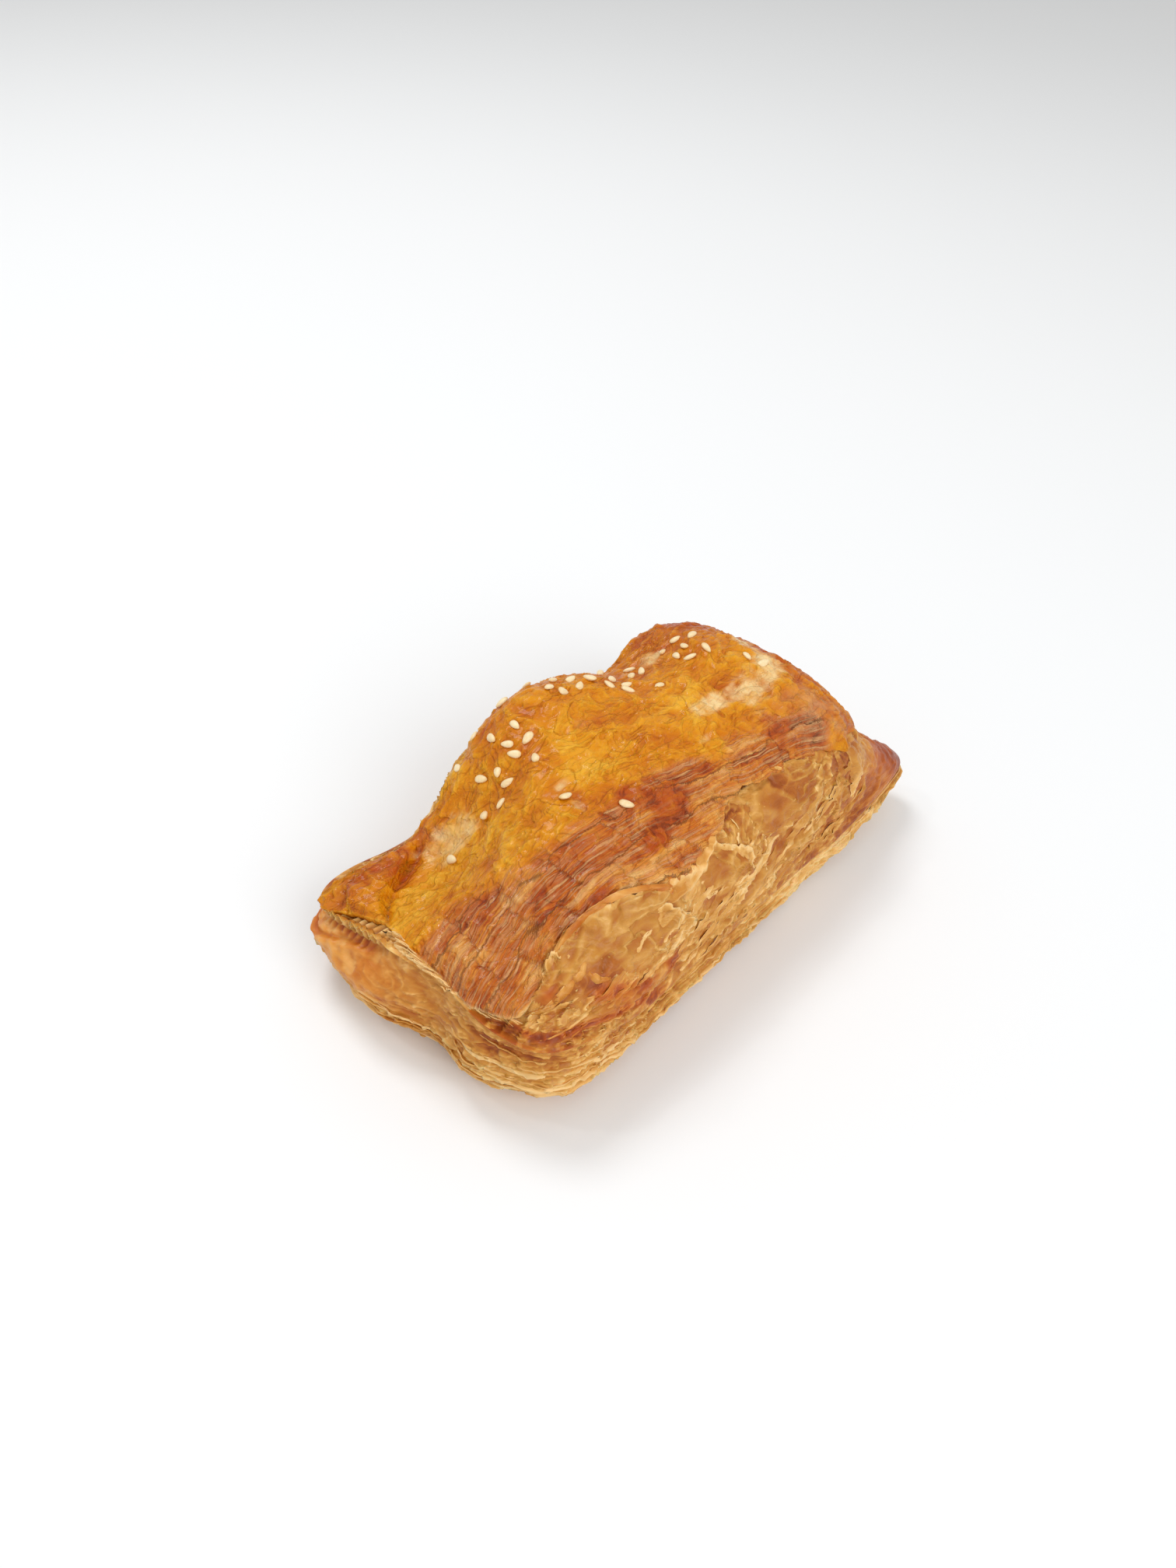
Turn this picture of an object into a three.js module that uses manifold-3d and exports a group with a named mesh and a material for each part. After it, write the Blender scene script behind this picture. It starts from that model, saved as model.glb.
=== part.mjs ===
// Chicken puff pastry: a baked pocket of laminated dough with a glazed top, pinched corners and sesame seeds.
// Millimetres, +X along the long side, +Z up. The pocket rests on three low spots of its base at z = 0.
// The skin is one closed surface. It is swept round the pocket by arc length and runs from the middle of the
// base, out to the rim, up the lower sheet to the seam, and over the upper sheet to a ridge line on top.

import * as THREE from 'three';
import { mergeVertices } from 'three/addons/utils/BufferGeometryUtils.js';
import Module from 'manifold-3d';

// Pocket
const HALF_LENGTH = 60.7;
const HALF_WIDTH = 33;
const SQUARENESS = 6; // exponent of the superellipse that the pocket follows in plan
const CROWN_HEIGHT = 43.5;
const RIDGE_SHARE = 0.55; // length of the ridge line on top as a share of the pocket's length
const EASE = 1.7; // spaces the rows of the upper sheet evenly up the wall and over the top
const CENTRE_X = -2.546; // puts the middle of the overall box on the origin
const CENTRE_Y = 0.623;

// Base and lower sheet
const BASE_INSET = 4.5; // how far the base stops short of the rim
const BASE_FLAT = 0.45; // share of the base that stays flat under a lifted corner
const REACH_AT_BASE = 0.75; // share of a corner's reach that its underside has
const BASE_MIDDLE = 0.2; // share of the base that lies flat round its middle
const BASE_HOLLOW = 0.4; // how far the rest of the uneven base stands off the table
const FOOT_SHARE = 0.85; // how far out the low spots are, as a share of the base
const FOOT_STATIONS = [25, 67, 93]; // columns of the mesh that have a low spot
const FOOT_WIDTH = 6;
const RIM_RISE = 0.4; // share of the lower sheet's height at which it is widest
const LAMINATION_COUNT = 2.5;
const LAMINATION_DEPTH = 0.55;

// Seam between the sheets, where they part into a groove
const SEAM_NEAR = 7.5;
const SEAM_FAR = 9;
const SEAM_LEFT = 23;
const SEAM_RIGHT = 13;
const SIDE_SHARPNESS = 8; // how abruptly one side's seam height gives way to the next
const GROOVE_DEPTH = 2.2;
const MOUTH_DEPTH = 2.6; // extra depth where the seam gapes at the left end
const GROOVE_START = 0.55; // share of the lower sheet's height at which the groove begins
const GROOVE_END = 0.06; // share of the upper sheet's run at which it ends
const MOUTH_RISE = 0.06; // and how much higher it ends at the mouth
const MOUTH_WIDTH = 26;
const MOUTH_ANGLE = 150;

// Pinched corners: plan angle, reach beyond the outline, lift of the underside, seam height there,
// spread along the edge before and after the corner, and how fast the reach fades up the upper sheet
const BODY_FADE = 8;
const LIFT_SPREAD = 1.5;
const SEAM_SPREAD = 1.3;
const CORNERS = [
  { angle: 45, reachX: 7, reachY: 1, lift: 3, seam: 11, before: 16, after: 12.8, fade: 8 },
  { angle: 135, reachX: -7.1, reachY: 2.7, lift: 6.3, seam: 16.2, before: 13.3, after: 13.3, fade: 4.3 },
  { angle: 225, reachX: -1.1, reachY: -3.2, lift: 0, seam: 20, before: 14.2, after: 14.2, fade: 8 },
  { angle: 315, reachX: 17.4, reachY: -0.2, lift: 7.7, seam: 10.8, before: 8, after: 15.2, fade: 9.4 },
];

// Lobes of the lower sheet at the left end, with a notch between: place across the end, width, and reach
const LEFT_LOBES = [
  { y: 8.3, width: 15, out: 7.3 },
  { y: -8.3, width: 6, out: -0.7 },
  { y: -15.6, width: 7, out: 3 },
];
const LEFT_LOBE_DEPTH = 8; // how far in from the left end they are felt
const LOBE_AT_BASE = 0.8; // share of a lobe that the base follows
const LOBE_TURN = 0.5; // share of the lower sheet's height above which a lobe turns in
const LOBE_TURN_IN = 0.6; // share of a lobe that is gone at the seam
const LOBE_ABOVE = 0.4; // share of a left lobe that the upper sheet follows at the seam
const LEFT_LOBE_FADE = 14; // how fast a lobe fades up the upper sheet
const NEAR_LOBE_FADE = 7;
// The near side bulges slightly and flares out towards the right corner
const NEAR_BULGE = { x: -37, width: 14, out: 1.2 };
const NEAR_FLARE = { from: 25, to: 50, out: 1.9 };
const NEAR_EDGE = 0.6; // share of the half width beyond which the near edge begins

// Crown: a lump and a saddle along the far edge, a slope towards the near edge, and low ends
const LUMP = { x: -4.8, y: 26, sizeX: 16.7, sizeY: 15, rise: 4.3 };
const SADDLE = { x: 21.8, width: 13.2, from: 4, to: 28, drop: 7 };
const NEAR_SLOPE = 0.18;
const NEAR_SLOPE_FROM = 2;
const FAR_HALF = { from: -12, to: 20 }; // where the near half of the crown gives way to the far half
const LEFT_DROP_NEAR = { from: -24, to: -60, drop: 11.9 };
const LEFT_DROP_FAR = { from: -13.6, to: -44.8, drop: 21.6 };
const RIGHT_DROP = { from: 36.4, to: 62, near: 3.4, far: 8.7 };

// Upper sheet
const BELLY = 3.4; // exponent of its upright profile on the near side
const BELLY_FAR = 1.4; // extra squareness on the far side
const BELLY_RIGHT = 0.6;
const RIGHT_END = 0.7; // share of the half length beyond which the right end begins
const WAIST = { x: -38, width: 13, from: 0.5, depth: 3.2 }; // dent behind the left corner
const TUCK = { angle: 322, width: 14.6, depth: 2.4 }; // the right end is drawn in above its pinched corner
const TUCK_RISE = 0.25; // share of the run over which a dent or a tuck comes in

// Glazed skin, torn away along the walls. Heights are shares of the upper sheet's run
const TORN_STEP = 1.3; // thickness of the skin
const TORN_BLUR = { below: 0.01, above: 0.02 };
const TORN_HEIGHT = 0.46;
const TORN_NEAR = { angle: 275, width: 60, height: 0.58 };
const TORN_LEFT = { angle: 180, width: 44, height: 0.02 };
const TORN_WAVES = [
  { depth: 0.03, turn: 0.21, start: 0 },
  { depth: 0.02, turn: 0.53, start: 1.2 },
];

// Blisters and dents of the skin. Ranges across the pocket are shares of its half width and half length
const BLISTER_COUNT = 30;
const BLISTER_X = [-0.85, 0.85];
const BLISTER_Y = [-0.7, 0.9];
const BLISTER_SIZE = [3, 8];
const BLISTER_HEIGHT = [-0.72, 1.08];
const BLISTER_DRAWS = 900; // number of the first of the blisters' fixed draws

// Flakes that stand off the walls
const FLAKE_COUNT = 46;
const FLAKE_LENGTH = [6, 13]; // half length along the wall
const FLAKE_RUN = [0.05, 0.11]; // half height as a share of the upper sheet's run
const FLAKE_LOW = 0.1;
const FLAKE_HIGH = 0.46;
const FLAKE_RAISE = [0.9, 2];
const FLAKE_SLANT = 0.008;
const FLAKE_RIM = [0.35, 1.05]; // where a flake's height begins to fall and has gone, 1 being its half sizes
const GOLDEN_STEP = 0.618034; // spreads the flakes' heights evenly

// Sesame seeds
const SEED_LENGTH = 3.4;
const SEED_WIDTH = 1.9;
const SEED_THICKNESS = 1.1;
const SEED_SUNK = 0.3; // share of its thickness that is baked into the crust
const SEED_SHRINK = 0.2; // how much smaller the last seed of a patch is than the first
const SEED_TRIES = 24; // places tried for each seed, of which the one farthest from the others is kept
const SEED_AROUND = 5;
const SEED_RINGS = 4;
const SEED_TAPER = 0.3;
const SEED_DRAWS = 2000; // number of the first of the seeds' fixed draws
// Patches on top where the seeds lie: middle and half sizes in plan, and how many seeds
const SEED_PATCHES = [
  { x: -23, y: 17, halfX: 6.5, halfY: 6.5, count: 9 },
  { x: -32, y: 13, halfX: 2, halfY: 2.5, count: 2 },
  { x: -17, y: -9.5, halfX: 1, halfY: 1, count: 1 },
  { x: -24.5, y: -0.5, halfX: 1, halfY: 1, count: 1 },
  { x: 0, y: 22, halfX: 6.5, halfY: 4, count: 6 },
  { x: 10, y: 17.5, halfX: 3, halfY: 5, count: 4 },
  { x: 19, y: 19.5, halfX: 2.5, halfY: 3, count: 3 },
  { x: 16, y: 10, halfX: 1, halfY: 1, count: 1 },
  { x: 31.5, y: 14.5, halfX: 5.5, halfY: 6, count: 7 },
  { x: 40, y: 0, halfX: 1.5, halfY: 2.5, count: 2 },
  { x: -41.5, y: 14, halfX: 1, halfY: 1, count: 1 },
  { x: -7, y: 28, halfX: 26, halfY: 2, count: 6 },
];

// Mesh
const AROUND = 112;
const BASE_ROWS = [0, BASE_MIDDLE, FOOT_SHARE];
const LOWER_ROWS = 8;
const UPPER_ROWS = 26;
const OUTLINE_STEPS = 4000;
const NORMAL_STEP = 0.5; // half the span over which the outline's direction is taken
const WELD = 1e-4;
const DROP_FROM = 100; // height from which a seed is dropped on to the crust

const PASTRY_COLOUR = 0xd0913c;
const PASTRY_ROUGHNESS = 0.55;

const gauss = (x, width) => Math.exp(-((x / width) ** 2));
const mix = (a, b, t) => a + (b - a) * t;

function ramp(from, to, x) {
  const t = Math.min(Math.max((x - from) / (to - from), 0), 1);
  return t * t * (3 - 2 * t);
}

// A fixed draw between 0 and 1 for each whole number
function draw(index) {
  const wave = Math.sin(index * 12.9898 + 4.1414) * 43758.5453;
  return wave - Math.floor(wave);
}

const signedPower = (value, power) => Math.sign(value) * Math.abs(value) ** power;

function superellipse(angle) {
  const power = 2 / SQUARENESS;
  return [
    HALF_LENGTH * signedPower(Math.cos(angle), power),
    HALF_WIDTH * signedPower(Math.sin(angle), power),
  ];
}

// Running length along the outline at even steps of the plan angle
const outlinePoints = [];
const outlineLengths = [];
for (let i = 0; i <= OUTLINE_STEPS; i++) {
  const point = superellipse((2 * Math.PI * i) / OUTLINE_STEPS);
  const before = outlinePoints.at(-1) ?? point;
  outlineLengths.push((outlineLengths.at(-1) ?? 0) + Math.hypot(point[0] - before[0], point[1] - before[1]));
  outlinePoints.push(point);
}
const PERIMETER = outlineLengths.at(-1);
const cornerArc = (degrees) => outlineLengths[Math.round((OUTLINE_STEPS * degrees) / 360)];

function outlineAt(arc) {
  const wrapped = ((arc % PERIMETER) + PERIMETER) % PERIMETER;
  let low = 0;
  let high = OUTLINE_STEPS;
  while (high - low > 1) {
    const middle = (low + high) >> 1;
    if (outlineLengths[middle] <= wrapped) low = middle;
    else high = middle;
  }
  const t = (wrapped - outlineLengths[low]) / (outlineLengths[high] - outlineLengths[low]);
  return [0, 1].map((k) => mix(outlinePoints[low][k], outlinePoints[high][k], t));
}

// Signed way along the outline from one place to another, the short way round
function arcFrom(start, end) {
  const half = PERIMETER / 2;
  return ((((end - start + half) % PERIMETER) + PERIMETER) % PERIMETER) - half;
}

const arcGap = (a, b) => Math.abs(arcFrom(a, b));
const stationArc = (number) => (number * PERIMETER) / AROUND;

// Everything that is fixed at one place along the outline
function stationAt(arc) {
  const [x, y] = outlineAt(arc);
  const ahead = outlineAt(arc + NORMAL_STEP);
  const behind = outlineAt(arc - NORMAL_STEP);
  const run = Math.hypot(ahead[0] - behind[0], ahead[1] - behind[1]);
  const normalX = (ahead[1] - behind[1]) / run;
  const normalY = -(ahead[0] - behind[0]) / run;

  const side = (share) => Math.max(share, 0) ** SIDE_SHARPNESS;
  const near = side(-y / HALF_WIDTH);
  const far = side(y / HALF_WIDTH);
  const left = side(-x / HALF_LENGTH);
  const right = side(x / HALF_LENGTH);
  let seam = SEAM_NEAR * near + SEAM_FAR * far + SEAM_LEFT * left + SEAM_RIGHT * right;
  seam /= near + far + left + right;

  let reachX = 0;
  let reachY = 0;
  let lift = 0;
  let fade = BODY_FADE;
  for (const corner of CORNERS) {
    const gap = arcFrom(cornerArc(corner.angle), arc);
    const spread = gap < 0 ? corner.before : corner.after;
    const weight = gauss(gap, spread);
    reachX += corner.reachX * weight;
    reachY += corner.reachY * weight;
    lift += corner.lift * gauss(gap, spread * LIFT_SPREAD);
    fade += (corner.fade - BODY_FADE) * weight;
    seam = mix(seam, corner.seam, gauss(gap, spread * SEAM_SPREAD));
  }

  const lobes = LEFT_LOBES.reduce((sum, lobe) => sum + lobe.out * gauss(y - lobe.y, lobe.width), 0);
  const lobeX = -lobes * gauss(x + HALF_LENGTH, LEFT_LOBE_DEPTH);
  const bulge = NEAR_BULGE.out * gauss(x - NEAR_BULGE.x, NEAR_BULGE.width);
  const flare = NEAR_FLARE.out * ramp(NEAR_FLARE.from, NEAR_FLARE.to, x);
  const lobeY = -(bulge + flare) * ramp(-NEAR_EDGE * HALF_WIDTH, -HALF_WIDTH, y);
  const bellyRight = BELLY_RIGHT * ramp(RIGHT_END * HALF_LENGTH, HALF_LENGTH, x);
  const belly = BELLY + BELLY_FAR * ramp(0, HALF_WIDTH, y) + bellyRight;
  const waist = WAIST.depth * gauss(x - WAIST.x, WAIST.width) * ramp(WAIST.from * HALF_WIDTH, HALF_WIDTH, y);
  const tuck = TUCK.depth * gauss(arcGap(arc, cornerArc(TUCK.angle)), TUCK.width);
  const mouth = gauss(arcGap(arc, cornerArc(MOUTH_ANGLE)), MOUTH_WIDTH);
  const groove = GROOVE_DEPTH + MOUTH_DEPTH * mouth;
  const grooveEnd = GROOVE_END + MOUTH_RISE * mouth;
  const foot = Math.max(...FOOT_STATIONS.map((k) => gauss(arcGap(arc, stationArc(k)), FOOT_WIDTH)));
  const lower = { seam, lift, foot, lobeX, lobeY, groove, grooveEnd };
  const upper = { reachX, reachY, fade, belly, waist, tuck };
  return { arc, x, y, normalX, normalY, ...lower, ...upper };
}

// Height of the upper sheet over the plan
function crownHeight(x, y) {
  const far = ramp(FAR_HALF.from, FAR_HALF.to, y);
  const leftDrop = (key) => mix(LEFT_DROP_NEAR[key], LEFT_DROP_FAR[key], far);
  let height = CROWN_HEIGHT;
  height += LUMP.rise * gauss(x - LUMP.x, LUMP.sizeX) * gauss(y - LUMP.y, LUMP.sizeY);
  height -= SADDLE.drop * gauss(x - SADDLE.x, SADDLE.width) * ramp(SADDLE.from, SADDLE.to, y);
  height -= NEAR_SLOPE * Math.max(-y - NEAR_SLOPE_FROM, 0);
  height -= leftDrop('drop') * ramp(leftDrop('from'), leftDrop('to'), x);
  height -= mix(RIGHT_DROP.near, RIGHT_DROP.far, far) * ramp(RIGHT_DROP.from, RIGHT_DROP.to, x);
  return height;
}

// Flakes and blisters are laid out by a rule, each from its own fixed draws
const flakes = Array.from({ length: FLAKE_COUNT }, (_, i) => ({
  arc: ((i + 0.6 * draw(7 * i)) / FLAKE_COUNT) * PERIMETER,
  run: mix(FLAKE_LOW, FLAKE_HIGH, (0.5 + i * GOLDEN_STEP) % 1),
  halfLength: mix(...FLAKE_LENGTH, draw(7 * i + 2)),
  halfRun: mix(...FLAKE_RUN, draw(7 * i + 3)),
  raise: mix(...FLAKE_RAISE, draw(7 * i + 4)),
  slant: FLAKE_SLANT * (2 * draw(7 * i + 5) - 1),
}));

const blisters = Array.from({ length: BLISTER_COUNT }, (_, i) => ({
  x: HALF_LENGTH * mix(...BLISTER_X, draw(BLISTER_DRAWS + 4 * i)),
  y: HALF_WIDTH * mix(...BLISTER_Y, draw(BLISTER_DRAWS + 4 * i + 1)),
  size: mix(...BLISTER_SIZE, draw(BLISTER_DRAWS + 4 * i + 2)),
  height: mix(...BLISTER_HEIGHT, draw(BLISTER_DRAWS + 4 * i + 3)),
}));

// Where the glazed skin of the upper sheet ends on the wall, as a share of the upper sheet's run
function tornEdge(arc) {
  const wave = TORN_WAVES.reduce((sum, w) => sum + w.depth * Math.sin(w.turn * arc + w.start), 0);
  const share = (side) => gauss(arcGap(arc, cornerArc(side.angle)), side.width);
  const height = mix(TORN_HEIGHT, TORN_NEAR.height, share(TORN_NEAR)) + wave;
  return mix(height, TORN_LEFT.height, share(TORN_LEFT));
}

function wallRelief(st, run) {
  const bare = 1 - ramp(-TORN_BLUR.below, TORN_BLUR.above, run - tornEdge(st.arc));
  let raise = 0;
  for (const flake of flakes) {
    const along = arcFrom(flake.arc, st.arc);
    const up = run - flake.run - flake.slant * along;
    const spread = (along / flake.halfLength) ** 2 + (up / flake.halfRun) ** 2;
    raise = Math.max(raise, flake.raise * (1 - ramp(...FLAKE_RIM, spread)));
  }
  return bare * ramp(1, 2, run / st.grooveEnd) * (raise - TORN_STEP);
}

function blisterHeight(x, y) {
  return blisters.reduce((sum, b) => sum + b.height * gauss(Math.hypot(x - b.x, y - b.y), b.size), 0);
}

function basePoint(st, t) {
  const x = st.x - BASE_INSET * st.normalX + REACH_AT_BASE * st.reachX + LOBE_AT_BASE * st.lobeX;
  const y = st.y - BASE_INSET * st.normalY + REACH_AT_BASE * st.reachY;
  const height = st.lift * ramp(BASE_FLAT, 1, t) + BASE_HOLLOW * ramp(BASE_MIDDLE, FOOT_SHARE, t);
  return [t * x, t * y, height * (1 - st.foot)];
}

function lowerPoint(st, t) {
  const out = Math.sin((Math.min(t / RIM_RISE, 1) * Math.PI) / 2);
  const ridges = LAMINATION_DEPTH * Math.sin(2 * Math.PI * LAMINATION_COUNT * t) ** 2 * (1 - t);
  const offset = -BASE_INSET * (1 - out) - st.groove * ramp(GROOVE_START, 1, t) - ridges * out;
  const reach = mix(REACH_AT_BASE, 1, out);
  const lobe = mix(LOBE_AT_BASE, 1, out) * (1 - LOBE_TURN_IN * ramp(LOBE_TURN, 1, t));
  return [
    st.x + offset * st.normalX + reach * st.reachX + lobe * st.lobeX,
    st.y + offset * st.normalY + reach * st.reachY + out * st.lobeY,
    mix(st.lift + BASE_HOLLOW, st.seam, t),
  ];
}

function upperPoint(st, run) {
  const t = run ** EASE / (run ** EASE + (1 - run) ** EASE);
  const turn = (t * Math.PI) / 2;
  const power = 2 / st.belly;
  const inward = run < 1 ? Math.cos(turn) ** power : 0;
  const rise = Math.sin(turn) ** power;
  const reach = Math.exp(-t * st.fade) * (1 - t);
  const drawn = inward * ramp(0, TUCK_RISE, t);
  const offset = wallRelief(st, run) - st.groove * (1 - ramp(0, st.grooveEnd, run));
  const lobeX = LOBE_ABOVE * st.lobeX * Math.exp(-t * LEFT_LOBE_FADE) * (1 - t);
  const lobeY = st.lobeY * Math.exp(-t * NEAR_LOBE_FADE) * (1 - t);
  const bodyX = st.x * mix(RIDGE_SHARE, 1, inward) - drawn * st.tuck;
  const bodyY = st.y * inward - drawn * st.waist;
  const x = bodyX + reach * st.reachX + lobeX + offset * st.normalX;
  const y = bodyY + reach * st.reachY + lobeY + offset * st.normalY;
  const crown = crownHeight(x, y) + blisterHeight(x, y);
  return [x, y, mix(st.seam, crown, rise)];
}

// The first row shrinks to the middle of the base. The last one folds flat on to the ridge line, where
// stations on opposite sides meet.
function crustGeometry() {
  const rows = [];
  for (const share of BASE_ROWS) rows.push((st) => basePoint(st, share));
  for (let i = 0; i < LOWER_ROWS; i++) rows.push((st) => lowerPoint(st, i / LOWER_ROWS));
  for (let i = 0; i <= UPPER_ROWS; i++) rows.push((st) => upperPoint(st, i / UPPER_ROWS));
  const stations = Array.from({ length: AROUND }, (_, i) => stationAt(stationArc(i)));

  const positions = [];
  const rings = rows.map((row, r) => {
    const first = positions.length / 3;
    let own = AROUND;
    if (r === 0) own = 1;
    if (r === rows.length - 1) own = AROUND / 2 + 1;
    for (const st of stations.slice(0, own)) {
      const [x, y, z] = row(st);
      positions.push(x + CENTRE_X, y + CENTRE_Y, z);
    }
    return stations.map((_, i) => first + (i < own ? i : (AROUND - i) % own));
  });
  rings[0].fill(0);

  const index = [];
  const addFace = (a, b, c) => {
    if (a !== b && b !== c && c !== a) index.push(a, b, c);
  };
  for (let r = 0; r + 1 < rings.length; r++) {
    for (let i = 0; i < AROUND; i++) {
      const j = (i + 1) % AROUND;
      addFace(rings[r][i], rings[r][j], rings[r + 1][j]);
      addFace(rings[r][i], rings[r + 1][j], rings[r + 1][i]);
    }
  }
  const geometry = new THREE.BufferGeometry();
  geometry.setAttribute('position', new THREE.Float32BufferAttribute(positions, 3));
  geometry.setIndex(index);
  return geometry;
}

// Places in the patches, kept apart by taking the best of several tries
function seedPlaces() {
  const places = [];
  let drawn = SEED_DRAWS;
  for (const patch of SEED_PATCHES) {
    for (let i = 0; i < patch.count; i++) {
      let best = null;
      for (let k = 0; k < SEED_TRIES; k++) {
        const radius = Math.sqrt(draw(drawn++));
        const angle = 2 * Math.PI * draw(drawn++);
        const x = patch.x + patch.halfX * radius * Math.cos(angle);
        const y = patch.y + patch.halfY * radius * Math.sin(angle);
        const room = Math.min(...places.map((seed) => Math.hypot(seed.x - x, seed.y - y)), Infinity);
        if (!best || room > best.room) best = { x, y, room };
      }
      const heading = 2 * Math.PI * draw(drawn++);
      places.push({ ...best, heading, scale: 1 - (SEED_SHRINK * i) / patch.count });
    }
  }
  return places;
}

function seedGeometry({ x, y, heading, scale }, crust) {
  const down = new THREE.Raycaster(new THREE.Vector3(x, y, DROP_FROM), new THREE.Vector3(0, 0, -1));
  const hit = down.intersectObject(crust)[0];
  const up = hit.face.normal;
  const along = new THREE.Vector3(Math.cos(heading), Math.sin(heading), 0).projectOnPlane(up).normalize();
  const across = new THREE.Vector3().crossVectors(up, along);
  const geometry = new THREE.SphereGeometry(1, SEED_AROUND, SEED_RINGS).rotateZ(Math.PI / 2);
  const position = geometry.getAttribute('position');
  for (let i = 0; i < position.count; i++) {
    position.setY(i, position.getY(i) * (1 - SEED_TAPER * position.getX(i)));
  }
  geometry.scale((scale * SEED_LENGTH) / 2, (scale * SEED_WIDTH) / 2, (scale * SEED_THICKNESS) / 2);
  const centre = hit.point.addScaledVector(up, scale * SEED_THICKNESS * (0.5 - SEED_SUNK));
  return geometry.applyMatrix4(new THREE.Matrix4().makeBasis(along, across, up).setPosition(centre));
}

const wasm = await Module();
wasm.setup();

function solidOf(geometry) {
  geometry.deleteAttribute('normal');
  geometry.deleteAttribute('uv');
  const welded = mergeVertices(geometry, WELD);
  return new wasm.Manifold(new wasm.Mesh({
    numProp: 3,
    vertProperties: welded.getAttribute('position').array,
    triVerts: new Uint32Array(welded.index.array),
  }));
}

function geometryOf(solid) {
  const mesh = solid.getMesh();
  const geometry = new THREE.BufferGeometry();
  geometry.setAttribute('position', new THREE.BufferAttribute(mesh.vertProperties, 3));
  geometry.setIndex(new THREE.BufferAttribute(mesh.triVerts, 1));
  geometry.computeVertexNormals();
  return geometry;
}

const crust = new THREE.Mesh(crustGeometry());
let solid = solidOf(crust.geometry);
for (const seed of seedPlaces()) solid = solid.add(solidOf(seedGeometry(seed, crust)));

const dough = new THREE.MeshStandardMaterial({ color: PASTRY_COLOUR, roughness: PASTRY_ROUGHNESS });
const pastry = new THREE.Mesh(geometryOf(solid), dough);
pastry.name = 'pastry';

const group = new THREE.Group();
group.add(pastry);
export default group;
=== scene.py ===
# Chicken puff pastry: the looks of one baked pocket of laminated dough.
# The pieces share the form functions of the solid, in millimetres. A place on the upper sheet is given by
# its arc along the outline and by its run, which is 0 at the seam and 1 at the ridge line on top. A place on
# the lower sheet is given by its arc and by its rise, which is 0 at the base and 1 at the seam.

import math

import bpy
import numpy as np
from mathutils import Matrix, Vector
from mathutils.bvhtree import BVHTree


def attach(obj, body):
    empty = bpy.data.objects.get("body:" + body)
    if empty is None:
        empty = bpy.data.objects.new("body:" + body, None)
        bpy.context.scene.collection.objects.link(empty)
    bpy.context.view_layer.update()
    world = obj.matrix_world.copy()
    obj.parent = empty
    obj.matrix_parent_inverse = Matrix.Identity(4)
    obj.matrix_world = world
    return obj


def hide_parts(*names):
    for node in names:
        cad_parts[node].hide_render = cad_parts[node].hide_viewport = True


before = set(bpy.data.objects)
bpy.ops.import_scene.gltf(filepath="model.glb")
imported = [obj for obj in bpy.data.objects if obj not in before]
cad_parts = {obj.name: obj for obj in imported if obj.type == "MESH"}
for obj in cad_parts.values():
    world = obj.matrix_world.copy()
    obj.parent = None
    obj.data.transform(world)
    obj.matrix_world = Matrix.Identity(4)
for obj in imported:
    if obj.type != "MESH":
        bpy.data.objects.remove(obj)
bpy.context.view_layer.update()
MM = 0.001

# Form of the pocket
HALF_LENGTH = 60.7
HALF_WIDTH = 33.0
SQUARENESS = 6.0
RIDGE_SHARE = 0.55
EASE = 1.7
CENTRE = np.array([-2.546, 0.623, 0.0])
OUTLINE_STEPS = 4000
RUN_LENGTH = 62.0

# Crown, and how far it falls to the ends on the near and on the far side
CROWN_HEIGHT = 43.5
LUMP_HEIGHT = 4.3
SADDLE_DEPTH = 7.0
NEAR_FALL = 0.18
LEFT_FALL = (11.9, 21.6)
LEFT_FALL_START = (-24, -13.6)
LEFT_FALL_END = (-60, -44.8)
RIGHT_FALL = (3.4, 8.7)

# Base and lower sheet
BASE_INSET = 4.5
BASE_FLAT = 0.45
BASE_HOLLOW = 0.4
BASE_SHARES = (0.5, 0.75, 0.9)
REACH_AT_BASE = 0.75
LOBE_AT_BASE = 0.8
RIM_RISE = 0.4
# Lobes of the left end: shift in x, centre in y, spread
LEFT_LOBES = [(-7.3, 8.3, 15), (0.7, -8.3, 6), (-3, -15.6, 7)]
LOBE_DEPTH = 8

# Seam
SEAM_SIDES = {"near": 7.5, "far": 9.0, "left": 23.0, "right": 13.0}
SIDE_SHARPNESS = 8
GROOVE_DEPTH = 0.9
MOUTH_DEPTH = 2.4
GROOVE_START = 0.55
GROOVE_END = 0.06
MOUTH_RISE = 0.06
MOUTH_WIDTH = 26.0
MOUTH_ANGLE = 150

# Corners: plan angle, reach in x and y, lift, seam height, spread before and after, fade
BODY_FADE = 8.0
LIFT_SPREAD = 1.5
SEAM_SPREAD = 1.3
CORNERS = [
    (45, 7.0, 1.0, 3.0, 11.0, 16.0, 12.8, 8.0),
    (135, -7.1, 2.7, 6.3, 16.2, 13.3, 13.3, 4.3),
    (225, -1.1, -3.2, 0.0, 20.0, 14.2, 14.2, 8.0),
    (315, 17.4, -0.2, 7.7, 10.8, 8.0, 15.2, 9.4),
]

# Upper sheet
BELLY = 3.4
BELLY_FAR = 1.4
BELLY_RIGHT = 0.6
WAIST_DEPTH = 3.2
END_TUCK = 2.4
TUCK_ANGLE = 322
TUCK_RISE = 0.25
BLISTER_HEIGHT = 0.9
BLISTER_COUNT = 30

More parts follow.
